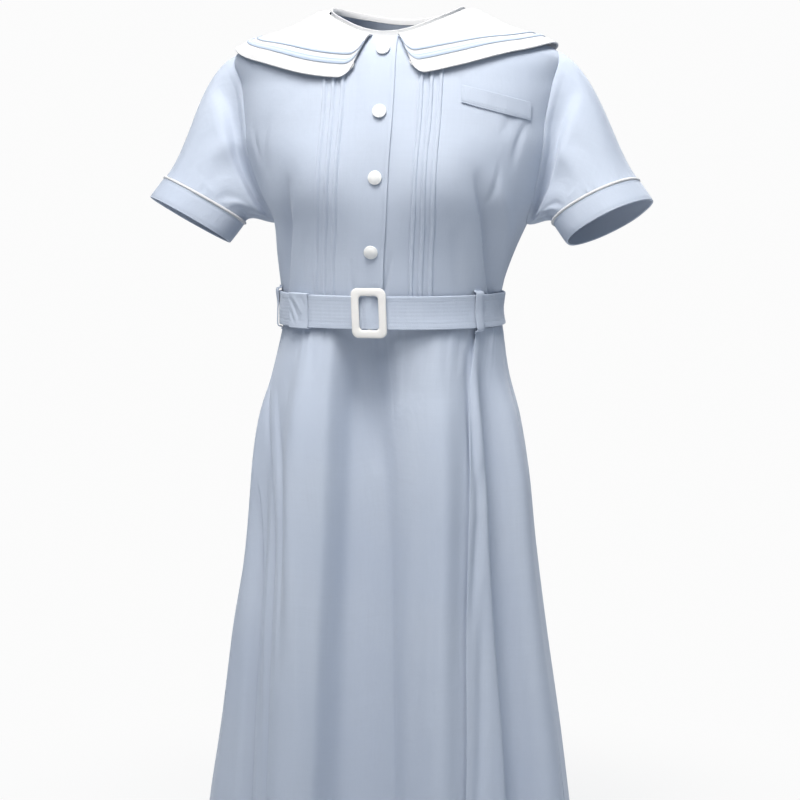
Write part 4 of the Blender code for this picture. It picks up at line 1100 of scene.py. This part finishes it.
def waist_puckers(x, rows):
    """Small uneven puckers where the skirt is eased into the waist seam, gone 60 mm below it."""
    ripple = wave(x, (13.1, 8.3, 21.7, 5.9), (0.3, 2.1, 1.0, 4.0), (0.5, 0.35, 0.6, 0.2))
    uneven = 1 + wave(x, (97.0, 61.0), (1.0, 2.6), (0.45, 0.35))
    below = column("height", WAIST_ROW) - column("height", rows)
    return 0.9 * ripple * uneven * np.exp(-below / 34.0)


def skirt_front_grid():
    """The front's angles run between its side edges and the pleats in spans of even columns.
    Each pleat's edge follows its path, and the cloth eases back to the worn form below it as
    exp(-(angle / ease)^2) and above it as exp(-angle / ease)."""
    rows = skirt_rows[:, None]
    girth = np.radians(1) * (column("left", rows) + column("right", rows)) / 2
    even = np.linspace(PLEAT_PATH[0, 0], PLEAT_PATH[-1, 0], len(PLEAT_PATH))
    angles, out = [], []
    start, above = -90 + side_gap, 0.0
    for pleat, begins, full, look, count in zip(
        PLEATS, PLEAT_STARTS, PLEAT_FULL, PLEAT_LOOKS, SKIRT_SPANS
    ):
        height, drop, ease = look
        grown = np.clip((skirt_share - begins) / (full - begins), 0, 1)
        grown = grown**2 * (3 - 2 * grown)
        across = even + (PLEAT_PATH[:, 0] - even) * grown
        fold = through(pleat, skirt_rows - WAIST_ROW)[:, None] + across / girth
        steps = np.arange(count) / count
        span = start + (fold[:, :1] - start) * steps
        drops = np.interp(np.arange(len(PLEAT_PATH)), [0, 4, 8], [drop, drop, 0])
        lift = (height * PLEAT_PATH[:, 1] - drops) * grown
        below = lift[:, :1] * np.exp(-(((span - fold[:, :1]) / ease) ** 2))
        angles += [span, fold]
        out += [below + above * np.exp((start - span) / PLEAT_ABOVE), lift]
        start, above = fold[:, -1:], lift[:, -1:]
    span = start + (90 - side_gap - start) * np.linspace(0, 1, SKIRT_SPANS[-1])
    angles = np.concatenate([*angles, span[:, 1:]], axis=1)
    out = np.concatenate([*out, (above * np.exp((start - span) / PLEAT_ABOVE))[:, 1:]], axis=1)
    x, y = plan(angles, rows)
    out += creases(SKIRT_CREASES, x, y) + waist_puckers(x, rows) + deep_folds(angles, rows)
    return cloth(angles, rows, out + big_fold(angles, rows))


def skirt_back_grid():
    """The back's angles run evenly from side to side."""
    angles = np.linspace(90, 270, 121)[None, :] + 0 * skirt_share
    angles[:, :1] += side_gap
    angles[:, -1:] -= side_gap
    rows = skirt_rows[:, None]
    x = (angles - 180) * np.radians(1) * (column("left", rows) + column("right", rows)) / 2
    out = creases(SKIRT_BACK_CREASES, x, column("height", rows)) + waist_puckers(x + 400, rows)
    return cloth(angles, rows, out)


above_hem = column("height", skirt_rows) - column("height", HEM_ROW)
hem_row = int(np.argmin(np.abs(above_hem - HEM_STITCH_ABOVE)))
hem_rows = []
for name, grid in (("skirt_front", skirt_front_grid()), ("skirt_back", skirt_back_grid())):
    piece = shell(name + "_cloth", grid, CLOTH, blue_poplin)
    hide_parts(name)
    normals = grid_normals(grid, grid * UP, False)
    hem_rows.append(stitches(grid[hem_row], normals[hem_row]))
hem_sewing = sewing("hem_stitching", hem_rows, blue_thread)

# Collar: a wide flat collar of doubled white cotton with rounded front ends, sewn to the neck
# edge. It rolls over and stands a little off the bodice, with stitching just within its edge.
COLLAR = 2.0
COLLAR_OPENING_TOP, COLLAR_OPENING_EDGE, COLLAR_CORNER = 15.0, 40.0, 16.0
EDGE_STEP = 22.5
RIGHT_EDGE_ROWS = np.array([2.72, 2.85, 2.72, 2.3, 1.88, 2.3, 2.9, 3.25, 3.35])
LEFT_EDGE_ROWS = np.array([2.72, 2.75, 2.5, 2.1, 1.86, 2.3, 2.9, 3.25, 3.35])
COLLAR_RISE = np.array([4.4, 9.0, 8.2, 7.2, 6.4, 6.0, 6.2, 6.8, 7.4])
COLLAR_SIDE_COLUMNS = 130
COLLAR_ACROSS = 34


def neck_row(angle):
    """The row of the neck edge: rounder and lower in front than behind."""
    dip = np.where(np.abs(angle) < 90, NECK_FRONT_ROW, NECK_BACK_ROW)
    return NECK_ROW + dip * np.cos(np.radians(angle)) ** 2


def edge_row(side, angle):
    """The row of the collar's outer edge, at an angle without its sign."""
    right = through(RIGHT_EDGE_ROWS, angle / EDGE_STEP)
    left = through(LEFT_EDGE_ROWS, angle / EDGE_STEP)
    return np.where(side < 0, right, left)


def collar_place(share, across):
    """Angle and row of a collar point. Share -1 is the wearer's right front end, 0 the middle
    back and 1 the left front end; across is 0 at the neck and 1 at the edge."""
    side = np.where(share < 0, -1.0, 1.0)
    opening = COLLAR_OPENING_TOP + (COLLAR_OPENING_EDGE - COLLAR_OPENING_TOP) * across
    start = np.zeros_like(opening * share)
    for _ in range(FIT_ROUNDS):
        row = neck_row(start)
        row = row + (edge_row(side, start) - row) * across
        start = side * angle_at(side * opening, row)
    angle = 180 - (180 - start) * np.abs(share)
    row = neck_row(angle)
    return side * angle, row + (edge_row(side, angle) - row) * across


def collar_points(share, across, out, lively=1.0):
    """A collar point, moved out by its roll over the neck seam and by a slow unevenness that
    grows towards its edge."""
    angle, row = collar_place(share, across)
    ease = wave(share, (0.43, 0.27, 0.71), (0.6, 2.2, 4.0), (0.5, 0.3, 0.5)) * across**2
    return cloth(angle, row, through(COLLAR_RISE, 8 * across) + lively * ease + out)


def across_at(share, from_edge):
    """The across value of the points that lie some mm in from the collar's edge along its
    outer face, for each share, and the length from neck to edge."""
    fine = np.linspace(1, 0, 61)[:, None]
    path = collar_points(share[None, :], fine, 0, 0.0)
    steps = np.linalg.norm(np.diff(path, axis=0), axis=-1)
    length = np.concatenate([np.zeros((1, len(share))), np.cumsum(steps, axis=0)])
    picks = [np.interp(at, run, fine[:, 0]) for at, run in zip(from_edge.T, length.T)]
    return np.array(picks).T, length[-1]


half_edge = collar_points(np.linspace(0, 1, 200), np.ones(200), 0, 0.0)
edge_run = np.linalg.norm(np.diff(half_edge, axis=0), axis=-1).sum()
corner_steps = np.array([0, 0.4, 1.0, 1.9, 3.1, 4.6, 6.5, 8.8, 11.6, 14.0, 16.0])
evenly = np.linspace(corner_steps[-1], edge_run, COLLAR_SIDE_COLUMNS)[1:]
from_end = np.concatenate([corner_steps, evenly])
side_shares = 1 - from_end / edge_run
collar_shares = np.concatenate([-side_shares, side_shares[-2::-1]])
ends = np.concatenate([from_end, from_end[-2::-1]])
short = np.clip(COLLAR_CORNER - ends, 0, None)
collar_corner = COLLAR_CORNER - np.sqrt(COLLAR_CORNER**2 - short**2)
_, collar_lengths = across_at(collar_shares, np.zeros((1, len(collar_shares))))
down = np.linspace(0, 1, COLLAR_ACROSS)[:, None] ** 1.15
from_edge = collar_corner + (collar_lengths - collar_corner) * down
collar_across, _ = across_at(collar_shares, from_edge)
collar_across[-1] = 0
edge_draw = -0.5 * np.exp(-(((from_edge - collar_corner - 3.0) / 1.0) ** 2))
collar_grid = collar_points(collar_shares[None, :], collar_across, edge_draw)
collar_axis = collar_grid * UP - np.array([0, 0, 300.0])
collar = shell("collar_cloth", collar_grid, COLLAR, white_cotton, inside=collar_axis)
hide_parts("collar")


def collar_line(from_edge_mm, out):
    """A line on the collar some mm in from its edge, and the normals there."""
    rows, _ = across_at(collar_shares, (collar_corner + from_edge_mm)[None, :])
    line = collar_points(collar_shares, rows[0], out)
    angle, row = collar_place(collar_shares, rows[0])
    return line, outward(angle, row)


collar_sewing = sewing(
    "collar_stitching", [stitches(*collar_line(3.0, -0.45), radius=0.24)], white_thread
)

# Collar tapes: a wide and a narrow woven tape in pale blue, sewn flat on the collar along its
# edge and caught in its front ends. The wide one has a paler middle between darker selvedges.
TAPE = 0.9
tape_blue = woven("tape_blue", (0.38, 0.45, 0.56), (0.36, 0.43, 0.55), crumple=0.1)
tape_pale = woven("tape_pale", (0.5, 0.56, 0.66), (0.48, 0.54, 0.65), crumple=0.1)


def tape_grid(inner, outer, rows):
    """A strip of the collar between two distances from its edge, raised by the tape's
    thickness, highest a little within its own edges."""
    at = np.linspace(inner, outer, rows)[:, None]
    across, _ = across_at(collar_shares, collar_corner[None, :] + at)
    share = (at - inner) / (outer - inner)
    crown = 0.25 * np.sin(np.pi * share) ** 0.5
    return collar_points(collar_shares[None, :], across, GAP + TAPE + crown - 0.25)


def under_collar(grid):
    """Points well below and within a grid on the collar, so that its outward side is known."""
    return grid * UP - np.array([0, 0, 300.0])


for name, (inner, outer), rows in (
    ("collar_tape_wide", (17.0, 23.5), 14),
    ("collar_tape_narrow", (29.5, 32.0), 7),
):
    grid = tape_grid(inner, outer, rows)
    tape = shell(name + "_woven", grid, TAPE, tape_blue, inside=under_collar(grid))
    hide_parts(name)
rib_grid = tape_grid(18.9, 21.6, 6)
rib_grid = rib_grid + 0.22 * grid_normals(rib_grid, under_collar(rib_grid), False)
rib = shell("tape_middle_rib", rib_grid, 0.3, tape_pale, inside=under_collar(rib_grid))

# Neckband: a narrow band of white cotton that stands on the neck edge, closed by the lap.
BAND_HEIGHT, BAND, BAND_COLUMNS, BAND_ABOVE_SEAM = 6.5, 1.5, 181, 0.7
band_start = float(angle_at(LAP_HALF - 1, np.array(NECK_FRONT_ROW)))
band_angles = np.linspace(band_start + np.degrees(GAP / 80), band_start + 360, BAND_COLUMNS)
band_wrapped = (band_angles + 180) % 360 - 180
band_rows = neck_row(band_wrapped)
edge_points = body(band_wrapped, band_rows)
inward_slope = unit(body(band_wrapped, band_rows - 0.03) - edge_points)
band_foot = edge_points + inward_slope * BAND_ABOVE_SEAM
band_up = np.linspace(0, 1, 8)[:, None, None]
band_bow = 0.5 * np.sin(np.pi * band_up) * inward_slope
band_grid = band_foot + UP * BAND_HEIGHT * band_up + band_bow
neckband = shell("neckband_cloth", band_grid, BAND, white_cotton, inside=edge_points.mean(axis=0))
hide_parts("neckband")

# Belt: one long strip of stiffened, doubled poplin. It starts at its free end on the wearer's
# right, crosses the front over the buckle's bar, goes round the back and ends behind the bar.
# Two rows of stitching follow each long edge.
BELT = 2.2
BELT_MIDDLE, BELT_HALF_HEIGHT = -331.5, 18.6
BELT_UNDER = 3.2
BELT_OVER = BELT_UNDER + BELT + GAP
BAR_LIFT = 2.3
TURN = 360.0
double_angles = np.concatenate([np.linspace(-68, -6, 90), np.linspace(-5.5, 5.5, 23)])
single_angles = np.linspace(6.5, 290, 250)
belt_angles = np.concatenate([double_angles, single_angles, double_angles[:-3] + TURN])
over_share = np.interp(belt_angles, [24, 50], [1, 0])
over_share = over_share**2 * (3 - 2 * over_share)
bar_bulge = BAR_LIFT * np.interp(np.abs(belt_angles), [1.7, 4.4], [1, 0])
belt_out = BELT_UNDER + (BELT_OVER - BELT_UNDER) * over_share + bar_bulge


def level_row(level):
    """The row at a height above the belt's middle."""
    heights = SECTIONS["height"][::-1]
    return np.interp(BELT_MIDDLE + level, heights, np.arange(len(heights))[::-1])


def waist(angle, out, level):
    """A point at a height above the belt's middle, moved out from the dress but kept level."""
    point = cloth(angle, level_row(level), out)
    return point * np.array([1, 1, 0]) + np.array([0, 0, BELT_MIDDLE + level])


def belt_relief(angle, share):
    """The belt's face: drawn in along its stitching, with faint lengthwise ridges of the
    stiffening inside and slight cross puckers between the rows."""
    edge = np.minimum(share, 1 - share) * 2 * BELT_HALF_HEIGHT
    drawn = sum(-0.32 * np.exp(-(((edge - at) / 0.7) ** 2)) for at in (2.2, 6.4))
    ridges = 0.12 * np.cos(2 * np.pi * edge / 4.1) * np.clip((edge - 6) / 3, 0, 1)
    puckers = wave(angle, (3.1, 1.7, 5.9), (0.2, 1.4, 3.0), (0.08, 0.05, 0.1))
    return drawn + ridges + puckers * np.sin(np.pi * share) - 0.35 * np.exp(-edge / 0.8)


belt_share = np.linspace(0, 1, 30)
belt_levels = BELT_HALF_HEIGHT * (1 - 2 * belt_share)
belt_grid = np.array(
    [
        waist(belt_angles, belt_out + BELT + belt_relief(belt_angles, share), level)
        for share, level in zip(belt_share, belt_levels)
    ]
)
belt = shell("belt_cloth", belt_grid, BELT - 0.15, blue_poplin, inside=belt_grid * UP)
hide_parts("belt")
belt_normals = grid_normals(belt_grid, belt_grid * UP, False)
belt_stitch_rows = []
for at in (2.2, 6.4, 2 * BELT_HALF_HEIGHT - 6.4, 2 * BELT_HALF_HEIGHT - 2.2):
    share = at / (2 * BELT_HALF_HEIGHT) * (len(belt_share) - 1)
    low, part = int(share), share - int(share)
    line = belt_grid[low] * (1 - part) + belt_grid[low + 1] * part
    belt_stitch_rows.append(stitches(line + belt_normals[low] * 0.05, belt_normals[low]))
belt_sewing = sewing("belt_stitching", belt_stitch_rows, blue_thread)

# Keeper: a wide closed band of poplin round both layers of the belt, crumpled at its sides.
KEEPER_ANGLE, KEEPER_HALF_SPAN, KEEPER_CLOTH = -46.0, 7.0, 1.2
keeper_low = BELT_UNDER - 0.8
keeper_high = BELT_OVER + BELT + 1.0
keeper_half = BELT_HALF_HEIGHT + 0.9
keeper_angles = np.linspace(-KEEPER_HALF_SPAN, KEEPER_HALF_SPAN, 33) + KEEPER_ANGLE
keeper_path = np.array(
    [
        (keeper_low - KEEPER_CLOTH, keeper_half),
        (keeper_low, keeper_half + 0.9),
        (keeper_high, keeper_half + KEEPER_CLOTH),
        (keeper_high + KEEPER_CLOTH, keeper_half + 0.2),
        *[(keeper_high + KEEPER_CLOTH, keeper_half * (1 - 2 * s)) for s in np.linspace(0.04, 0.96, 22)],
        (keeper_high + KEEPER_CLOTH, -keeper_half - 0.2),
        (keeper_high, -keeper_half - KEEPER_CLOTH),
        (keeper_low, -keeper_half - 0.9),
        (keeper_low - KEEPER_CLOTH, -keeper_half),
    ]
)
KEEPER_CREASES = crease_table(
    (-16, 16, 2, -15, 2, 2.0, 3.2, -1.3),
    (-9, 17, 7, -4, 1, 2.0, 2.6, 0.9),
    (-14, 2, -4, -17, -1, 1.8, 2.6, -0.9),
    (4, 18, 12, 2, 1, 2.4, 2.0, -0.6),
)


def band_shell(name, grid, thick, material, inside):
    """A cloth band round the belt: a shell whose rows close up on themselves."""
    turned = np.swapaxes(grid, 0, 1)
    return shell(name, turned, thick, material, True, inside)


keeper_x = (keeper_angles - KEEPER_ANGLE) * np.radians(1) * 122
keeper_grid = np.array(
    [
        waist(
            keeper_angles,
            out + creases(KEEPER_CREASES, keeper_x, level) * (out > keeper_high),
            level,
        )
        for out, level in keeper_path
    ]
)
keeper_middle = keeper_grid.mean(axis=0)[:, None, :]
keeper = band_shell("keeper_cloth", keeper_grid, KEEPER_CLOTH * 0.9, blue_poplin, keeper_middle)
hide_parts("keeper")

# Belt loops: narrow folded strips of poplin over the belt, sewn to the dress above and below
# it, at both sides and at the middle back.
LOOP_HALF_WIDTH, LOOP_REACH, LOOP_FOOT, LOOP_CLOTH = 4.8, 26.0, 0.6, 1.1
LOOPS = (("belt_loop_right", -76.0), ("belt_loop_left", 63.0), ("belt_loop_back", 180.0))
loop_high = BELT_UNDER + BELT + 0.6
loop_half = BELT_HALF_HEIGHT + 0.6
LOOP_PATH = np.array(
    [
        (LOOP_FOOT, LOOP_REACH, 1.0, 0.0),
        (LOOP_FOOT + 0.2, loop_half + 3.9, 1.2, 1.0),
        (loop_high, loop_half, 1.5, 1.2),
        (loop_high, 0, 1.5, 0),
        (loop_high, -loop_half, 1.5, -1.2),
        (LOOP_FOOT + 0.2, -loop_half - 3.9, 1.2, -1.0),
        (LOOP_FOOT, -LOOP_REACH, 1.0, 0.0),
    ]
)
for name, angle in LOOPS:
    half_angle = np.degrees(LOOP_HALF_WIDTH / 120.0)
    loop_angles = angle + np.linspace(-half_angle, half_angle, 9)
    steps = np.linspace(0, len(LOOP_PATH) - 1, 43)
    path = np.stack([through(LOOP_PATH[:, k], steps) for k in range(4)], axis=-1)
    inner = np.array([waist(loop_angles, out, level) for out, level, _, _ in path])
    crown = 0.35 * (1 - np.linspace(-1, 1, 9) ** 2)[None, :, None]
    thicker, longer = path[:, 2, None, None], path[:, 3, None, None]
    grid = inner + outward(loop_angles, WAIST_ROW) * (thicker * LOOP_CLOTH + crown) + UP * longer
    loop = shell(name + "_cloth", grid, LOOP_CLOTH, blue_poplin)
    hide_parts(name)

# Buckle: a moulded ivory plastic slide, a rounded frame with a bar behind it that the belt
# covers.
BUCKLE_HALF, OPENING_HALF, BUCKLE_CORNERS = (20.6, 28.8), (11.6, 19.8), (8.0, 4.5)
BUCKLE_THICK = 3.6
FRAME_LIFT = BELT_OVER + BELT + 1.6
BAR_HALF_WIDTH, BAR_THICK = 2.4, 1.9
RIM_PROFILE = np.array(
    [(0.0, 0.9), (0.1, 0.0), (0.9, 0.0), (1.0, 0.9), (0.99, 2.3), (0.86, 3.3), (0.5, 3.7), (0.14, 3.3), (0.01, 2.3)]
)


def rounded(half, radius):
    """Points round a rounded rectangle, with the same number at each corner and side."""
    turns = np.radians(np.linspace(0, 90, 13))
    points = []
    for k, (x, z) in enumerate(((1, 1), (-1, 1), (-1, -1), (1, -1))):
        centre = np.array([x * (half[0] - radius), z * (half[1] - radius)])
        turn = turns + k * np.pi / 2
        points.append(centre + radius * np.stack([np.cos(turn), np.sin(turn)], axis=-1))
    return np.concatenate(points)


def moulded(name, colour, roughness):
    """Moulded plastic: a colour that drifts a little, faint flow marks in its relief, light
    that enters it, and a soft gloss."""
    material = bpy.data.materials.new(name)
    material.use_nodes = True
    nodes = material.node_tree.nodes
    surface = nodes["Principled BSDF"]
    place = add(nodes, "TexCoord")
    tone = add(nodes, "TexNoise", Vector=place.outputs["Object"], Scale=55.0, Detail=3.0)
    ramp = add(nodes, "MapRange", Value=tone.outputs["Fac"], To_Min=0.94, To_Max=1.04)
    scaled = add(nodes, "VectorMath", operation="SCALE", _0=colour, Scale=ramp.outputs["Result"])
    nodes.id_data.links.new(scaled.outputs["Vector"], surface.inputs["Base Color"])
    flow = add(nodes, "TexNoise", Vector=place.outputs["Object"], Scale=210.0, Detail=2.0)
    bump = add(nodes, "Bump", Height=flow.outputs["Fac"], Distance=0.0002, Strength=0.35)
    nodes.id_data.links.new(bump.outputs["Normal"], surface.inputs["Normal"])
    surface.inputs["Roughness"].default_value = roughness
    surface.inputs["Subsurface Weight"].default_value = 0.15
    surface.inputs["Subsurface Radius"].default_value = (0.002, 0.0018, 0.0015)
    surface.inputs["Coat Weight"].default_value = 0.25
    surface.inputs["Coat Roughness"].default_value = 0.2
    return material


ivory_plastic = moulded("ivory_plastic", (0.8, 0.785, 0.765), 0.38)
button_white = moulded("button_white", (0.83, 0.83, 0.82), 0.3)
rim, hole = rounded(BUCKLE_HALF, BUCKLE_CORNERS[0]), rounded(OPENING_HALF, BUCKLE_CORNERS[1])
knots = np.linspace(0, len(RIM_PROFILE), 37)[:-1]
closed_profile = np.concatenate([RIM_PROFILE, RIM_PROFILE[:1]])
profile = np.stack([through(closed_profile[:, k], knots) for k in (0, 1)], axis=-1)
frame_grid = np.array(
    [np.column_stack([hole + (rim - hole) * share, np.full(len(rim), high)]) for share, high in profile]
)
top, bottom = waist(0.0, FRAME_LIFT, BELT_HALF_HEIGHT), waist(0.0, FRAME_LIFT, -BELT_HALF_HEIGHT)
slope = unit(top - bottom)
sideways = np.array([1.0, 0, 0])
buckle_axes = np.stack([sideways, slope, np.cross(sideways, slope)])
buckle = hoop("buckle_frame", frame_grid @ buckle_axes + (top + bottom) / 2, ivory_plastic)
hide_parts("buckle")
bar_back = BELT_UNDER + BELT + 0.4 - FRAME_LIFT
bar_side = np.array([
    (-23.5, bar_back), (23.5, bar_back), (23.5, 0.6), (19.4, 0.6),
    (19.4, bar_back + BAR_THICK), (-19.4, bar_back + BAR_THICK), (-19.4, 0.6), (-23.5, 0.6),
])
bar_across = np.array([-1.0, -0.96, 0.96, 1.0]) * BAR_HALF_WIDTH
bar_inset = np.array([0.12, 0.0, 0.0, 0.12])
bar_grid = np.array(
    [
        np.column_stack([np.full(8, x), bar_side[:, 0] * (1 - inset / 24), bar_side[:, 1]])
        for x, inset in zip(bar_across, bar_inset)
    ]
)
bar_number = np.arange(32).reshape(4, 8)
bar_wrapped = joined_up(bar_number)
bar_sides = squares(bar_wrapped)
end_quads = np.array([(0, 1, 2, 3), (0, 3, 4, 5), (0, 5, 6, 7)])
bar_faces = np.concatenate([bar_sides, end_quads, end_quads + 24])
bar_points = bar_grid.reshape(-1, 3) @ buckle_axes + (top + bottom) / 2
bar = mesh_object("buckle_bar", bar_points, bar_faces, bar_points[:, [0, 2]] * METRES, ivory_plastic)

# Buttons: four domed white plastic buttons on the lap, with a fine rim. The second and the
# fourth sit a little askew, as the photograph shows.
BUTTON_ROWS = (2.0, 3.75, 5.6, 7.8)
BUTTON_TILTS = ((0, 0), (-7, 4), (2, -2), (8, 5))
BUTTON_RADIUS, BUTTON_LIFT = 8.2, 0.8
BUTTON_PROFILE = np.array(
    [(0.0, 0.0), (0.5, 0.0), (0.78, 0.05), (0.94, 0.5), (1.0, 1.3), (0.97, 2.1), (0.89, 2.55), (0.82, 2.6),
     (0.74, 2.95), (0.58, 3.6), (0.38, 4.05), (0.18, 4.25), (0.0, 4.3)]
)
button_turn = np.linspace(0, 2 * np.pi, 65)[:-1]
steps = np.linspace(0, len(BUTTON_PROFILE) - 1, 49)
share, high = (through(BUTTON_PROFILE[:, k], steps) for k in (0, 1))
share = np.clip(share, 0.004, None)[:, None]
button_shape = np.stack(
    [
        BUTTON_RADIUS * share * np.cos(button_turn),
        BUTTON_RADIUS * share * np.sin(button_turn),
        high[:, None] + 0 * button_turn,
    ],
    axis=-1,
)
number = np.arange(button_shape.shape[0] * button_shape.shape[1]).reshape(button_shape.shape[:2])
number = joined_up(number)
for count, (row, tilt) in enumerate(zip(BUTTON_ROWS, BUTTON_TILTS), start=1):
    place = cloth(0.0, row, LAP + BUTTON_LIFT)
    turn = Vector(outward(0.0, row)).to_track_quat("Z", "Y").to_matrix()
    tilted = Matrix.Rotation(np.radians(tilt[0]), 3, "X") @ Matrix.Rotation(np.radians(tilt[1]), 3, "Y")
    points = button_shape.reshape(-1, 3) @ np.array(turn @ tilted).T + place
    flat = button_shape.reshape(-1, 3)[:, :2] * METRES
    button = mesh_object(f"button_{count}_domed", points, squares(number), flat, button_white)
    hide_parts(f"button_{count}")
